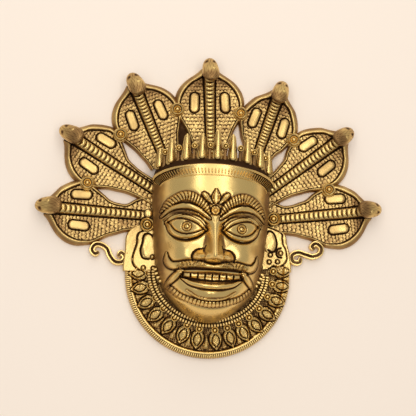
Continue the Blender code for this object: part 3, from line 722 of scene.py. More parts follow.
def make_band(gadroons):
    """Band round the forehead: a thin roll, upright gadroons and a smooth roll above."""
    turn = np.linspace(-1, 1, gadroons * 9 + 1)[:, None]
    across = np.concatenate([[0.0, -0.1], np.linspace(-0.1, 1.0, 40), [1.0, 0.8]])[None, :]
    upright = step_up(0.06, 0.12, across) * (1 - step_up(0.68, 0.74, across))
    round_ends = np.clip(1 - ((across - 0.4) / 0.34) ** 2, 0, 1) ** 0.3
    flute = round_ends * np.abs(np.sin(math.pi * gadroons * (turn + 1) / 2)) ** 1.1
    lift = along(BAND_PROFILE, across) + upright * (3.2 * flute - 1.8)
    lift[:, :2] = [-6.0, -3.0]
    lift[:, -2:] = [-5.0, -7.0]
    darkening = 0.95 * upright * (1 - flute) ** 1.2 + 0.25 * step_up(0.9, 1.05, across)
    darkening += 0.5 * hill((across - 0.74) / 0.05) + 0.6 * hill((across - 0.075) / 0.05)
    band = loft("crown_band", band_point(turn, across, lift), FACE_FRAME)
    return finished(band, darkening.ravel(), reach=1.2, depth=0.5)


def spike_point(turn, rise=0.0):
    """Points on the row of spikes behind the band."""
    angle = turn * math.pi / 2
    out = math.cos(angle)
    return Vector((59 * math.sin(angle), 33 + 11 * out + rise, 50 * out + 5))


def upright_at(turn, tall=1.0):
    """Where a turned shape stands in the row of spikes, its own Z towards the crown."""
    stand = Matrix.Rotation(-math.pi / 2, 4, "X") @ Matrix.Diagonal((1, 1, tall, 1))
    return Matrix.Translation(spike_point(turn)) @ stand


def make_spikes():
    """Nine pointed buds in front of flat sheaths, each bud ringed by a body painted near black as the shade of the slit
    round it.
    """
    parts = []
    marks = []
    # The ring round each bud is painted near black as shade; the sheath gets a light brown tone.
    for name, levels, dark in (("bud", BUD, 0.0), ("shadow_ring", SHADOW_RING, 0.95), ("sheath", SHEATH, 0.22)):
        parts.append(turned(name, levels, 20))
        marks += [dark] * len(parts[-1].data.vertices)
    parts[0].data.transform(Matrix.Translation((0, -BUD_FORWARD, 0)))
    places = [upright_at(turn, tall) for turn, tall in zip(SPIKE_TURNS, SPIKE_TALL)]
    spikes = copies("crown_spikes", joined("spike", parts), places, FACE_FRAME)
    return finished(spikes, np.tile(marks, len(places)), reach=1.6, depth=0.8)


def make_crown_rings():
    """Ringed beads between the spikes, each on a post."""
    bead = turned("bead", RING_BEAD, 16)
    middles = [(a + b) / 2 for a, b in zip(SPIKE_TURNS, SPIKE_TURNS[1:])]
    darkening = np.tile(groove_soil(bead, RING_GROOVES), len(middles))
    places = [Matrix.Translation((0, 0, 4)) @ at(*spike_point(turn, 10.5), size=0.9) for turn in middles]
    beads = copies("beads", bead, places, FACE_FRAME)
    posts = copies("posts", turned("post", RING_POST, 10), [upright_at(turn) for turn in middles], FACE_FRAME)
    # The posts are painted half dark: patina with painted shade of the recess behind the band.
    darkening = np.concatenate([darkening, np.full(len(posts.data.vertices), 0.5)])
    return finished(joined("crown_rings", [beads, posts]), darkening, reach=0.9, depth=0.6)


# The cobra hoods

def hood_frame(tip, base):
    """Frame whose origin is the head's tip and whose Y runs to the mask."""
    way = Vector((base[0] - tip[0], base[1] - tip[1], 0)).normalized()
    across = Vector((way.y, -way.x, 0))
    place = Matrix((across, way, Vector((0, 0, 1)))).transposed().to_4x4()
    place.translation = Vector((tip[0], tip[1], 0))
    return place, (Vector(base) - Vector(tip)).length


def scales(s, x, pitch):
    """Height and darkness of hand-cut scales that grow towards the mask."""
    low, grow = 0.85 * pitch, 0.014
    beat = np.log((low + grow * s) / low) / grow
    row = np.floor(beat)
    spot = x / (low * np.exp(grow * (row + 0.5)) * 1.05) + 0.5 * (row % 2)
    cell = np.floor(spot)
    chance = np.sin(row * 12.9898 + cell * 78.233) * 43758.5453
    chance -= np.floor(chance)
    u = spot - cell - 0.5 + 0.3 * (chance - 0.5)
    v = beat - row - 0.5 + 0.36 * ((chance * 7) % 1 - 0.5)
    apart = np.hypot(u, v)
    turn = (chance - 0.5) * 1.2
    towards = (v * np.cos(turn) + u * np.sin(turn)) / np.maximum(apart, 0.01)
    line = hill((apart - 0.45) / 0.15) * (0.1 + 0.9 * step_up(-0.3, 0.6, -towards))
    return 0.5 * roll(apart / 0.6) - 0.6 * line, 0.62 * line + 0.02 + 0.1 * chance


RIM_WIDTH = [(10, 1.25), (38, 1.2), (52, 0.85), (64, 0.62)]
RIM_WIDTH_END = 0.55
RIM_PROFILE = [(0, 1.6), (0.5, 3.4), (1.8, 5.4), (3.4, 6.8), (4.3, 6.9), (4.9, 6.2), (5.3, 4.2), (5.9, 4.0),
               (6.5, 4.9), (90, 5.0)]
RIM_GROOVE = 5.5
OVAL_AT = 46.0
OVAL_APART = 15.7
OVAL_SPREAD = 0.04
OVAL_STRAIGHT = 5.9
OVAL_RADIUS = 4.3
THROAT_WIDTH = [(10, 5.6), (20, 5.4), (32, 5.1), (60, 4.7)]
THROAT_WIDTH_END = 3.9
THROAT_HEIGHT = [(10, 9.5), (16, 8.6), (22, 6.8), (30, 5.2), (40, 4.6)]
THROAT_HEIGHT_END = 4.2
RIBS_FROM = 22.0
RIB_PROFILE = [(0, 0.05), (0.1, 0.7), (0.3, 1.0), (0.62, 0.9), (0.82, 0.5), (0.94, 0.05), (1.0, 0.05)]


def hood_relief(s, x, edge, reach, ribs, pitch, shade):
    """Height and darkness of a hood: broad rim, groove, scales, ovals and ribbed throat."""
    near = edge / along(RIM_WIDTH + [(reach, RIM_WIDTH_END)], s)
    z = along(RIM_PROFILE, near)
    # Painted shade on the outer slope of the rim, which turns away from the light; patina in the rim groove.
    dark = 0.16 + 0.24 * (1 - step_up(1.5, 4.4, near)) + 0.9 * hill((near - RIM_GROOVE) / 0.8)
    field = step_up(6.0, 6.6, near)
    bumps, lines = scales(s, x, pitch)
    z = z + field * (bumps - 0.3)
    # Scales near the head are darker: patina with painted shade under the raised head.
    dark = dark + field * (lines + 0.25 * (1 - step_up(20, 36, s)))

    from_oval = s - OVAL_AT
    for side in (-1, 1):
        dx = x - side * (OVAL_APART + OVAL_SPREAD * from_oval)
        share = np.hypot(dx, np.maximum(np.abs(from_oval) - OVAL_STRAIGHT, 0)) / OVAL_RADIUS
        inside = 1 - step_up(0.94, 1.04, share)
        z = z * (1 - inside) + inside * (5.0 + 1.5 * np.clip(1 - share ** 2, 0, 1) ** 0.35)
        line = hill((share - 1.16) / 0.24) * field
        z = z - 1.4 * line
        dark = dark * (1 - inside) * (1 - line) + 0.85 * line + 0.2 * inside

    share = np.abs(x) / along(THROAT_WIDTH + [(reach, THROAT_WIDTH_END)], s)
    raised = along(THROAT_HEIGHT + [(reach, THROAT_HEIGHT_END)], s)
    beat = (reach - RIBS_FROM) / ribs
    rib = along(RIB_PROFILE, ((s + 0.06 * x ** 2 - RIBS_FROM) / beat) % 1)
    border = step_up(0.8, 0.88, share)
    rib = rib * (1 - border) + 0.75 * border
    throat = 4.2 + raised * roll(share) ** 0.7 * (0.7 + 0.3 * rib)
    over = share < 1
    beside = hill((share - 1.16) / 0.24)
    z = np.where(over, np.maximum(throat, 3.5), z) - 1.6 * beside
    between_ribs = 0.85 * np.clip(1.15 * (1 - rib) - 0.15, 0, 1) ** 1.3
    # Throat darker near the head: patina with painted shade under the raised head; its border takes patina.
    brown = 0.2 * step_up(0.9, 1.0, share) + 0.45 * (1 - step_up(14, 32, s))
    # The groove beside the throat: patina on both sides, and painted shadow on the side chosen by shade.
    dark = np.where(over, between_ribs + brown, dark) + np.where(x * shade > 0, 1.0, 0.55) * beside
    return z, np.clip(dark, 0, 1)


def make_hood(name, ribs, pitch, step):
    """One carved hood, its inner end buried in the head's wall."""
    tip, base = HOODS[name]
    place, reach = hood_frame(tip, base)
    plus, minus = HOOD_SIDES[name]
    t = np.linspace(-1, 1, 132)
    samples = np.linspace(PLATE_START, reach + 14, 300)[:, None]

    def half_at(s):
        return np.where(t >= 0, along(plus, s), along(minus, s))

    x = half_at(samples) * t
    world = np.array(place)
    gx = world[0, 0] * x + world[0, 1] * samples + world[0, 3]
    gy = world[1, 0] * x + world[1, 1] * samples + world[1, 3]
    under = inside_head(gx, gy)
    first = np.where(under.any(0), under.argmax(0), len(samples) - 1)
    stop = np.minimum(samples[first, 0], reach + 6)

    s = PLATE_START + (stop - PLATE_START) * np.linspace(0, 1, 230)[:, None]
    half = half_at(s)
    x = half * t
    slope = half_at(s + 0.5) - half_at(s - 0.5)
    edge = np.minimum((half - np.abs(x)) / np.sqrt(1 + slope ** 2), s - PLATE_START + 2)
    # The throat side whose groove gets the painted shadow.
    shade = 1 if tip[0] < 30 else -1
    z, dark = hood_relief(s, x, edge, reach, ribs, pitch, shade)
    piece = slab(f"hood_{name}", np.stack([x, s, z + step], 2), place)
    return finished(piece, dark.ravel(), reach=1.4, depth=1.1)


SKULL = [(1.2, -13.0, 1.0), (2.8, -12.2, 2.4), (4.9, -10.5, 4.1), (6.4, -8, 5.1), (7.5, -5.0, 5.8), (8.2, -1, 6.0),
         (8.7, 3.0, 5.9), (9.0, 7, 5.6), (8.9, 10.0, 5.1), (8.2, 13, 4.5), (6.6, 16.0, 3.8), (4.6, 18, 2.8),
         (2.4, 19.0, 1.8)]
EYE = [(1.6, -2), (1.6, 0.2), (1.2, 0.7), (0.8, 0.3), (0.5, 0.3)]
MOUTH = [(0.6, -2.6, 0.5), (1.4, -1.8, 1.0), (1.7, 0, 1.2), (1.4, 1.8, 1.0), (0.6, 2.6, 0.5)]
HEAD_TILT = math.radians(36)
HEAD_PLACE = (0, 12, 17)


def make_cobra_heads():
    """Seven raised heads, speckled, with two dark eyes and a short mouth ridge."""
    skull = turned("skull", SKULL, 32)
    begin(skull)
    bpy.ops.object.modifier_add(type="SUBSURF")
    skull.modifiers[0].levels = 1
    bpy.ops.object.modifier_apply(modifier=skull.modifiers[0].name)
    x, y, z = np.array([v.co for v in skull.data.vertices]).T
    speckle = np.sin(x * 3.1 + 1.3 * np.sin(y * 2.3)) * np.sin(z * 3.7 + x * 1.1)
    eyes = np.hypot(np.abs(x) - 3.7, z + 3.8) + 9 * (y < 0)
    parts = [skull]
    marks = [0.2 + 0.3 * np.clip(speckle, 0, 1) + 0.2 * step_up(4, 14, z) + hill(eyes / 2.3)]
    for side in (-1, 1):
        eye = turned("eye", EYE, 12)
        eye.data.transform(Matrix.Translation((4.2 * side, 3.9, -2.5)) @ Matrix.Rotation(-1.2, 4, "X")
                           @ Matrix.Rotation(0.55 * side, 4, "Y"))
        parts.append(eye)
        marks.append(np.full(len(eye.data.vertices), 0.95))
    mouth = turned("mouth", MOUTH, 12)
    mouth.data.transform(Matrix.Translation((2.2, 4.4, 6)) @ Matrix.Rotation(1.3, 4, "Y"))
    parts.append(mouth)
    marks.append(np.full(len(mouth.data.vertices), 0.05))
    pattern = joined("cobra_head", parts)
    out = Vector((0, math.cos(HEAD_TILT), math.sin(HEAD_TILT)))
    over = Vector((0, -math.sin(HEAD_TILT), math.cos(HEAD_TILT)))
    stand = Matrix((Vector((-1, 0, 0)), over, out)).transposed().to_4x4()
    stand.translation = Vector(HEAD_PLACE)
    places = [hood_frame(tip, base)[0] @ stand for tip, base in HOODS.values()]
    darkening = np.tile(np.concatenate(marks), len(places))
    return finished(copies("cobra_heads", pattern, places), darkening, reach=1.6, depth=1.6)


SHADOW_PLATE_X = (-36, -16)
SHADOW_PLATE_Y = (56, 92)
SHADOW_PLATE_TOP = 2.6
DISC_OF_ROSETTE = [(7.4, 0.0), (7.4, 4.6), (6.9, 5.2), (6.5, 5.4), (6.3, 7.4), (5.9, 8.5), (5.2, 9.0), (4.6, 8.6),
                   (4.2, 7.0), (3.9, 7.0), (3.6, 8.4), (3.1, 8.9), (2.6, 8.5), (2.3, 7.2), (2.0, 7.2), (1.6, 8.6),
                   (1.0, 9.2), (0.4, 9.4)]


def make_web():
    """Sunk plate in the slot left of the centre hood, painted black as the shade in that slot."""
    x, y = np.meshgrid(np.linspace(*SHADOW_PLATE_X, 8), np.linspace(*SHADOW_PLATE_Y, 12))
    z = SHADOW_PLATE_TOP + 0.3 * np.sin(x * 0.9) * np.sin(y * 0.7)
    # Painted shade: the plate is near black all over.
    return finished(slab("web", np.stack([x, y, z], 2)), np.full(x.size, 0.85))


def make_rosettes():
    """Discs of two rings and a dot over the joints between hoods."""
    disc = turned("disc", DISC_OF_ROSETTE, 28)
    darkening = np.tile(groove_soil(disc, (4.1, 2.1), 1.0), len(ROSETTES))
    discs = copies("rosettes", disc, [at(x, y, 1.7, size=1.02) for x, y in ROSETTES])
    return finished(discs, darkening, reach=1.0, depth=6.0)


# The collar, ears, necklaces and scrolls

RINGS_CENTRE = (2.8, -66.5)
BUD_TURNS = [180.4, 191.8, 204.4, 216.5, 230.5, 244.9, 257.8, 273.6, 286.3, 298.6, 311, 324.1, 337.8, 350.4, 362.4]
BUD_GAP = 10.9


def ring_spots():
    """Place of each ring bead and the way that its bud points."""
    cx, cy = RINGS_CENTRE
    made = []
    for turn in BUD_TURNS:
        angle = math.radians(turn)
        reach = 56.8 + 6 * abs(math.cos(angle)) ** 4
        x, y = cx + reach * math.cos(angle), cy + reach * math.sin(angle)
        way = Vector((x - COLLAR_CENTRE[0], y - COLLAR_CENTRE[1])).normalized()
        made.append((x, y, way))
    return made


def make_collar():
    """Cape with a roped border, a smooth bevel and a row of lotus buds."""
    cx, cy = COLLAR_CENTRE
    angle = np.radians(np.linspace(COLLAR_START, COLLAR_END, 640))[:, None]
    probe = np.linspace(30, COLLAR_RADIUS, 200)[None, :]
    under = inside_head(cx + probe * np.cos(angle), cy + probe * np.sin(angle))
    last = under.shape[1] - 1 - under[:, ::-1].argmax(1)
    inner = probe[0, last][:, None]
    r = inner + (COLLAR_RADIUS - inner) * np.linspace(0, 1, 84) ** 0.85
    x, y = cx + r * np.cos(angle), cy + r * np.sin(angle)
    z = along([(38, 12.0), (60, 7.6), (70, 5.4), (75.2, 4.7), (75.9, 4.2), (76.5, 5.8), (77.2, 6.6), (78.6, 6.8),
               (79.1, 6.2), (79.6, 6.3), (81.5, 6.4), (82.4, 5.8), (82.9, 4.2), (83.2, 2.2)], r)
    dark = 0.75 * hill((r - 75.9) / 0.8) + 0.35 * hill((r - 79.1) / 0.4)
    rope = step_up(79.0, 79.6, r) * (1 - step_up(82.8, 83.2, r))
    twist = (0.5 - 0.5 * np.cos(angle * 81.5 * 2 * math.pi / 2.1 + r * 0.4)) ** 2
    z = z - rope * 0.7 * twist
    # Patina in the rope's twists, and painted shade on the collar's sloping outer edge.
    dark = dark + rope * 0.55 * twist + 0.25 * step_up(82.4, 83.2, r)
    field = 1 - step_up(75.2, 75.9, r)
    mottle = np.sin(x * 1.7 + 2.1 * np.sin(y * 1.3)) * np.sin(y * 1.9 + 1.7 * np.sin(x * 1.1))
    z = z + field * 0.5 * mottle
    dark = dark + field * (0.46 - 0.3 * mottle)
    spots = ring_spots()
    for i, (rx, ry, way) in enumerate(spots):
        bx, by = rx + way.x * BUD_GAP - x, ry + way.y * BUD_GAP - y
        b = -(bx * way.x + by * way.y)
        a = np.abs(bx * way.y - by * way.x)
        wide = along([(-9, 3.4), (-6.5, 5.6), (-3, 6.2), (1, 5.8), (5, 3.9), (7.6, 1.6), (9.2, 0.2)], b)
        core = along([(-6.4, 0.2), (-4.5, 2.0), (-1, 3.1), (2, 2.6), (5.2, 0.2)], b)
        span = step_up(-9.4, -8.2, b) * (1 - step_up(8.6, 9.4, b))
        share = a / np.maximum(wide, 0.3)
        on = (1 - step_up(0.92, 1.04, share)) * span
        heart = np.clip(1 - (a / np.maximum(core, 0.3)) ** 2, 0, 1) ** 0.5 * (np.abs(b + 0.6) < 6)
        line = hill((a - core - 0.7) / 0.75) * step_up(-7.6, -6.4, b) * (1 - step_up(5.4, 6.6, b))
        rest = hill((a - wide - 0.6) / 0.9) * span
        z = z + on * (3.4 * roll(share * 0.96) - 2.0 * line + 1.4 * heart) - 1.1 * rest
        # The outline round each bud is patina with painted shade of the undercut.
        dark = dark * (1 - on) + on * (0.9 * line + 0.1 * (1 - heart)) + 0.4 * rest
        if i + 1 < len(spots):
            nx, ny, after = spots[i + 1]
            middle = (way + after).normalized()
            px, py = (rx + nx) / 2 + middle.x * 12 - x, (ry + ny) / 2 + middle.y * 12 - y
            d = -(px * middle.x + py * middle.y)
            s = np.abs(px * middle.y - py * middle.x)
            length = along([(-7, 0.2), (-3, 1.0), (2, 1.7), (6, 2.4), (8, 0.2)], d)
            lit = roll(s / np.maximum(length, 0.25)) * step_up(-7, -6, d) * (1 - step_up(6.5, 7.5, d)) * (1 - on)
            z = z + 1.2 * lit
            dark = dark * (1 - 0.6 * lit)
    return finished(slab("collar", np.stack([x, y, z], 2)), np.clip(dark, 0, 1).ravel(), reach=1.3, depth=1.0)


def make_collar_rings():
    """Ring bead at the inner end of each lotus bud."""
    bead = turned("bead", RING_BEAD, 16)
    places = [at(x, y, 10.4, size=1.12) for x, y, _ in ring_spots()]
    darkening = np.tile(groove_soil(bead, RING_GROOVES), len(places))
    return finished(copies("collar_rings", bead, places), darkening, reach=0.9, depth=0.9)


def make_necklaces(pitch):
    """Two rows of square beads round the jaw, each on a cord, and a few larger beads under the cheeks."""
    begin()
    bpy.ops.mesh.primitive_cube_add(size=1, location=(0, 0, 0))
    bead = bpy.context.object
    bpy.ops.object.mode_set(mode="EDIT")
    bpy.ops.transform.resize(value=(pitch * 0.8, 3.3, 3.0))
    bpy.ops.mesh.bevel(offset=0.6, segments=1, affect="EDGES")
    bpy.ops.object.mode_set(mode="OBJECT")
    places = []
    cords = []
    for grow, high in ((0.8, 14.2), (5.0, 12.4)):
        angles = np.radians(np.linspace(182, 358, int((165 + 3.3 * grow) / pitch)))
        x = (54.5 + grow) * np.cos(angles)
        y = -66 + (48 + grow) * np.sin(angles)
        turns = np.arctan2((48 + grow) * np.cos(angles), -(54.5 + grow) * np.sin(angles))
        places += [at(px, py, high, turn) for px, py, turn in zip(x, y, turns)]
        path = np.stack([x, y, np.full(len(x), high - 1.2)], 1)
        cords.append(sweep("cord", path, round_section(8), np.full(len(x), 1.6), FACE_FRAME))
    for side in (-1, 1):
        for x, y in ((53.4, -66), (52.2, -70), (50.2, -73.8), (47.6, -77.2)):
            places.append(at(x * side, y, 17.0, 1.2 * side, 1.25))
    darkening = [0.16] * (len(bead.data.vertices) * len(places)) + [0.95] * sum(len(c.data.vertices) for c in cords)
    beads = copies("beads", bead, places, FACE_FRAME)
    return finished(joined("necklaces", [beads] + cords), darkening, reach=1.2, depth=0.8)


EARS = {
    "left": {
        "edge": [(-64, -85.4), (-58, -85.4), (-43, -83.5), (-27, -81.8), (-20, -74), (-15, -60)],
        "inner": -48.0,
        "plate": [(-50, -20), (-69.3, -25.9), (-71.7, -37.0), (-75.2, -48.0), (-75.9, -54.9), (-73.3, -60.1),
                  (-67.5, -64.0), (-58.5, -65.6), (-50, -66)],
        "pad": (-58.6, -39.8, 8.8, 13.0),
        "lines": [[(-54.5, -32.2), (-56.5, -29.0), (-60.7, -26.8), (-64.7, -28.6), (-66.3, -36.5), (-68.2, -43.9),
                   (-66.6, -50.1), (-64.1, -52.1), (-59.6, -52.5)]],
        "beads": [(-56.2, -50.7), (-65.2, -61.4), (-55.2, -61.9)],
    },
    "right": {
        "edge": [(-64, 84.4), (-58, 84.2), (-44, 82.6), (-36, 80.6), (-24, 77), (-17, 62)],
        "inner": 52.0,
        "plate": [(54, -16), (73.5, -24.1), (75.2, -30.5), (76.0, -36.3), (78.6, -41.6), (79.7, -50.9), (76.8, -56.1),
                  (71.5, -59.1), (66, -58.4), (62.1, -60.8), (54, -62)],
        "pad": (62.0, -34.0, 7.4, 11.0),
        "lines": [[(58.3, -26.6), (61.2, -23.0), (65.8, -24.7), (68.4, -30.6), (69.3, -37.0), (67.5, -42.9), (63.9, -44.1),
                   (60.4, -42.4)],
                  [(73.4, -40.2), (70.2, -41.6), (68.9, -45.6), (70.6, -49.0), (74, -49.6)]],
        "beads": [(73.3, -45.2), (62.8, -47.0), (61.5, -54.2), (70.0, -53.9)],
    },
}
DISC = [(7.4, 2), (7.4, 9.4), (7.0, 11.6), (6.2, 12.3), (5.4, 11.8), (4.8, 10.2), (4.4, 10.2), (4.0, 11.6), (3.3, 12.0),
        (2.7, 11.4), (2.3, 10.3), (2.0, 10.3), (1.7, 11.6), (1.0, 12.2), (0.4, 12.3)]
STUD = [(4.9, 2), (4.9, 9.0), (4.6, 10.0), (4.1, 10.0), (3.7, 11.4), (2.8, 12.0), (1.4, 12.3), (0.4, 12.4)]


def make_ears():
    """Flat ears in relief, each with a plump pad in a cut line, small beads and its disc, and a stud by the left ear.
    """
    made = []
    soils = []
    for word, ear in EARS.items():
        y = np.linspace(-64, -16, 118)[:, None] + np.zeros((1, 84))
        edge = along(ear["edge"], y)
        x = edge + (ear["inner"] - edge) * np.linspace(0, 1, 84)[None, :]
        closed = ear["plate"] + ear["plate"][:1]
        share, _, _ = stroke(x, y, closed, [1.0] * len(closed), 90)
        inside = np.zeros(x.shape, bool)
        for (ax, ay), (bx, by) in zip(closed, closed[1:]):
            crosses = (ay > y) != (by > y)
            inside ^= crosses & (x < ax + (bx - ax) * (y - ay) / (by - ay if by != ay else 1))
        share = np.minimum(share, 9)
        grain = np.sin(x * 1.9 + 1.6 * np.sin(y * 1.7)) * np.sin(y * 2.3 + x * 0.7)
        z = 7.4 + 0.1 * grain + np.where(inside, 2.4 * step_up(0, 1.3, share), -0.8 * hill(share / 1.6))
        dark = 0.95 * hill(np.where(inside, share * 2.2, share) / 1.5) + 0.14 + 0.12 * grain
        cx, cy, rx, ry = ear["pad"]
        z = z + 2.0 * roll(np.hypot((x - cx) / rx, (y - cy) / ry) ** 1.5)
        for line in ear["lines"]:
            apart, _, _ = stroke(x, y, line, [1.0] * len(line), 60)
            z = z - 1.8 * hill(apart / 1.3)
            dark = dark + 1.3 * hill(apart / 1.35)
        for bx, by in ear["beads"]:
            apart = np.hypot(x - bx, y - by)
            z = z + 1.3 * roll(apart / 1.8) - 0.9 * hill((apart - 2.3) / 0.8)
            dark = dark * step_up(1.0, 2.2, apart) + 0.85 * hill((apart - 2.3) / 0.8)
        rim = np.minimum(np.abs(x - edge), 3)
        z = z - 1.2 * (1 - step_up(0, 1.2, rim)) - 0.8 * hill((rim - 2.6) / 0.01)
        piece = slab(f"ear_{word}", np.stack([x, y, z], 2))
        soils += [np.clip(dark, 0, 1).ravel(), np.zeros(len(piece.data.vertices) - dark.size)]
        made.append(piece)
    for name, levels, grooves, spots in (("disc", DISC, (7.4, 4.8, 4.4, 2.3, 2.0), [(-61.5, -18.0), (66.2, -10.4)]),
                                         ("stud", STUD, (4.9, 4.6, 4.1), [(-60.5, -6.6)])):
        piece = turned(name, levels, 28)
        soils.append(np.tile(groove_soil(piece, grooves), len(spots)))
        made.append(copies(name, piece, [at(x, y, 0.4) for x, y in spots]))
    return finished(joined("ears", made), np.concatenate(soils), reach=1.3, depth=0.9)


SCROLLS = {
    "left": [(-109.4, -45.1), (-113.3, -47.1), (-116.4, -43.1), (-113.4, -38.1), (-107.5, -38.0), (-101.4, -42.0),
             (-98.4, -49.0), (-93.3, -54.9), (-86.3, -54.9), (-83.4, -49.8), (-87.4, -45.8), (-90.4, -49.9)],
    "right": [(109.1, -40.5), (106.1, -37.5), (110.2, -34.4), (115.3, -38.4), (114.2, -44.6), (107.0, -47.7),
              (98.8, -45.7), (91.6, -43.8), (85.4, -46.9), (86.4, -53.0), (92.5, -54.0), (94.6, -48.9)],
}


def make_scrolls():
    """S-scrolls that tie the lowest hoods to the collar: a band with rolled edges."""
    section = [(-1.0, -0.9), (-1.05, 0.3), (-0.85, 1.15), (-0.5, 1.2), (-0.3, 0.85), (0.3, 0.85), (0.5, 1.2),
               (0.85, 1.15), (1.05, 0.3), (1.0, -0.9)]
    made = []
    for points in SCROLLS.values():
        path = spread([(x, y, 2.7) for x, y in points], 90)
        sizes = along([(0, 1.9), (0.06, 2.8), (0.94, 2.8), (1.0, 1.9)], np.linspace(0, 1, 90))
        made.append(sweep("scroll", path, section, sizes))
    return finished(joined("scrolls", made), reach=1.0, depth=0.4)


# The stage

def looking(spot, aim=(0, 0, 0)):
    """Rotation of a lamp or camera at a spot that looks at its aim with the crown upwards."""
    back = (Vector(spot) - Vector(aim)).normalized()
    right = Vector((0, 1, 0)).cross(back).normalized()
    return Matrix((right, back.cross(right), back)).transposed().to_euler()


def make_stage(stage):
    """Pale floor, soft studio light and the camera."""
    begin()
    bpy.ops.mesh.primitive_plane_add(size=8.0, location=(0, 0, -0.0004))
    floor = bpy.context.object
    floor.name = floor.data.name = "floor"
    paper = bpy.data.materials.new("pale paper")
    paper.use_nodes = True
    shader = paper.node_tree.nodes["Principled BSDF"]
    shader.inputs["Base Color"].default_value = (*stage.floor_colour, 1)
    shader.inputs["Roughness"].default_value = 0.95
    shader.inputs["Specular IOR Level"].default_value = 0.1
    floor.data.materials.append(paper)

    world = bpy.data.worlds.new("studio")
    world.use_nodes = True
    sky = world.node_tree.nodes["Background"]
    sky.inputs["Color"].default_value = (1.0, 0.97, 0.93, 1)
    sky.inputs["Strength"].default_value = stage.room_light
    bpy.context.scene.world = world

    lamps = [
        ("left strip", (-0.42, 0.05, 1.2), (0.2, 1.5), 0.7),
        ("right strip", (0.36, 0.05, 1.25), (0.14, 1.5), 0.55),
        ("top wide", (0.0, 1.3, 0.75), (1.8, 0.8), 0.9),
        ("front wide", (0.1, 0.45, 1.5), (0.9, 2.0), 0.9),
    ]
    for name, spot, size, share in lamps:
        light = bpy.data.lights.new(name, "AREA")
        light.shape = "RECTANGLE"
        light.size, light.size_y = size
        light.energy = stage.lamp_power * share
        light.color = (1.0, 0.97, 0.92)
        lamp = bpy.data.objects.new(name, light)
        bpy.context.scene.collection.objects.link(lamp)
        lamp.location = spot
        lamp.rotation_euler = looking(spot)
        lamp.visible_camera = False

    lens = bpy.data.cameras.new("camera")
    lens.sensor_width = 36.0
    lens.lens = stage.lens
    camera = bpy.data.objects.new("camera", lens)
    bpy.context.scene.collection.objects.link(camera)
    aim = Vector((CENTRE_SHIFT[0] * MM, (CENTRE_SHIFT[1] + 0.5) * MM, 0.006))
    away = Vector((-0.096, -0.155, 1.0))
    camera.location = aim + away * stage.distance
    camera.rotation_euler = looking(camera.location, aim)
    bpy.context.scene.camera = camera
    bpy.context.scene.view_settings.view_transform = "Standard"


# What a user can change

class MaskFinish(bpy.types.PropertyGroup):
    brass_colour: bpy.props.FloatVectorProperty(
        name="Brass", description="Colour of the polished parts", subtype="COLOR", size=3, min=0, max=1,
        default=(0.8, 0.57, 0.215))
    amber_colour: bpy.props.FloatVectorProperty(
        name="Amber", description="Colour between polish and patina", subtype="COLOR", size=3, min=0, max=1,
        default=(0.35, 0.2, 0.075))
    # Dark brown of the patina in the deep recesses, also used for the painted shade.
    patina_and_shade_colour: bpy.props.FloatVectorProperty(
        name="Patina", description="Colour in the deep recesses", subtype="COLOR", size=3, min=0, max=1,
        default=(0.06, 0.028, 0.012))
    polish: bpy.props.FloatProperty(
        name="Polish", description="Roughness of the polished parts", default=0.27, min=0.02, max=1)


class MaskCarving(bpy.types.PropertyGroup):
    gadroons: bpy.props.IntProperty(name="Gadroons", description="Upright flutes on the crown band", default=54, min=12)
    ribs: bpy.props.IntProperty(name="Ribs", description="Ribs on each throat", default=20, min=6)
    scale_pitch: bpy.props.FloatProperty(
        name="Scale pitch", description="Distance between the scales of a hood, in millimetres", default=3.5, min=1)
    bead_pitch: bpy.props.FloatProperty(
        name="Bead pitch", description="Distance between necklace beads, in millimetres", default=2.85, min=1)


class MaskStage(bpy.types.PropertyGroup):
    floor_colour: bpy.props.FloatVectorProperty(
        name="Floor", description="Colour of the floor", subtype="COLOR", size=3, min=0, max=1,
        default=(0.97, 0.86, 0.76))
    room_light: bpy.props.FloatProperty(name="Room light", description="Strength of the soft light all round", default=0.5)
    lamp_power: bpy.props.FloatProperty(name="Lamp power", description="Power of a softbox", default=4.9, unit="POWER")
    lens: bpy.props.FloatProperty(name="Lens", description="Focal length in millimetres", default=113.0)
    distance: bpy.props.FloatProperty(
        name="Distance", description="Height of the camera over the mask", default=1.3, unit="LENGTH")


class MaskOperator:
    bl_options = {"REGISTER", "UNDO"}


class FACEMASK_OT_face(MaskOperator, bpy.types.Operator):
    """Carve the head"""
    bl_idname = "facemask.face"
    bl_label = "Face"

    def execute(self, context):
        make_face()
        return {"FINISHED"}


class FACEMASK_OT_crown(MaskOperator, bpy.types.Operator):
    """Make the crown's band, spikes and ring beads"""
    bl_idname = "facemask.crown"
    bl_label = "Crown"

    def execute(self, context):
        make_band(context.scene.mask_carving.gadroons)
        make_spikes()
        make_crown_rings()
        return {"FINISHED"}


class FACEMASK_OT_hoods(MaskOperator, bpy.types.Operator):
    """Carve the seven hoods"""
    bl_idname = "facemask.hoods"
    bl_label = "Hoods"

    def execute(self, context):
        carving = context.scene.mask_carving
        for i, name in enumerate(HOODS):
            make_hood(name, carving.ribs, carving.scale_pitch, 0.25 * (i % 2))
        return {"FINISHED"}


class FACEMASK_OT_cobra_heads(MaskOperator, bpy.types.Operator):
    """Make the cobras' heads"""
    bl_idname = "facemask.cobra_heads"
    bl_label = "Cobra heads"

    def execute(self, context):
        make_cobra_heads()
        return {"FINISHED"}


class FACEMASK_OT_rosettes(MaskOperator, bpy.types.Operator):
    """Make the ringed discs between the hoods"""
    bl_idname = "facemask.rosettes"
    bl_label = "Rosettes"

    def execute(self, context):
        make_web()
        make_rosettes()
        return {"FINISHED"}


class FACEMASK_OT_collar(MaskOperator, bpy.types.Operator):
    """Carve the collar with its buds and ring beads"""
    bl_idname = "facemask.collar"
    bl_label = "Collar"

    def execute(self, context):
        make_collar()
        make_collar_rings()
        return {"FINISHED"}


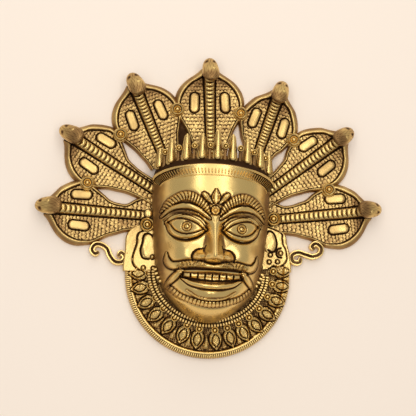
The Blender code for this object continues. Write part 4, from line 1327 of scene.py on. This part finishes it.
class FACEMASK_OT_necklaces(MaskOperator, bpy.types.Operator):
    """String the two necklaces"""
    bl_idname = "facemask.necklaces"
    bl_label = "Necklaces"

    def execute(self, context):
        make_necklaces(context.scene.mask_carving.bead_pitch)
        return {"FINISHED"}


class FACEMASK_OT_ears(MaskOperator, bpy.types.Operator):
    """Make the ears and the plates behind them"""
    bl_idname = "facemask.ears"
    bl_label = "Ears"

    def execute(self, context):
        make_ears()
        return {"FINISHED"}


class FACEMASK_OT_scrolls(MaskOperator, bpy.types.Operator):
    """Make the S-scrolls"""
    bl_idname = "facemask.scrolls"
    bl_label = "Scrolls"

    def execute(self, context):
        make_scrolls()
        return {"FINISHED"}


class FACEMASK_OT_stage(MaskOperator, bpy.types.Operator):
    """Set up the floor, the light and the camera"""
    bl_idname = "facemask.stage"
    bl_label = "Stage"

    def execute(self, context):
        make_stage(context.scene.mask_stage)
        return {"FINISHED"}


STEPS = [FACEMASK_OT_face, FACEMASK_OT_crown, FACEMASK_OT_hoods, FACEMASK_OT_cobra_heads, FACEMASK_OT_rosettes, FACEMASK_OT_collar,
         FACEMASK_OT_necklaces, FACEMASK_OT_ears, FACEMASK_OT_scrolls, FACEMASK_OT_stage]


class FACEMASK_PT_panel(bpy.types.Panel):
    """The mask's pieces and settings"""
    bl_idname = "FACEMASK_PT_panel"
    bl_label = "Face Mask"
    bl_space_type = "VIEW_3D"
    bl_region_type = "UI"
    bl_category = "Face Mask"

    def draw(self, context):
        for group in (context.scene.mask_finish, context.scene.mask_carving, context.scene.mask_stage):
            for key in group.bl_rna.properties.keys():
                if key not in ("rna_type", "name"):
                    self.layout.prop(group, key)
        for step in STEPS:
            self.layout.operator(step.bl_idname)


GROUPS = {"mask_finish": MaskFinish, "mask_carving": MaskCarving, "mask_stage": MaskStage}


def register():
    for group in GROUPS.values():
        bpy.utils.register_class(group)
    for step in STEPS + [FACEMASK_PT_panel]:
        bpy.utils.register_class(step)
    for key, group in GROUPS.items():
        setattr(bpy.types.Scene, key, bpy.props.PointerProperty(type=group))


def unregister():
    for key in GROUPS:
        delattr(bpy.types.Scene, key)
    for made in [FACEMASK_PT_panel] + STEPS[::-1] + list(GROUPS.values()):
        bpy.utils.unregister_class(made)


def main():
    register()
    for step in STEPS:
        word = step.bl_idname.split(".")[1]
        getattr(bpy.ops.facemask, word)()


if __name__ == "__main__":
    main()
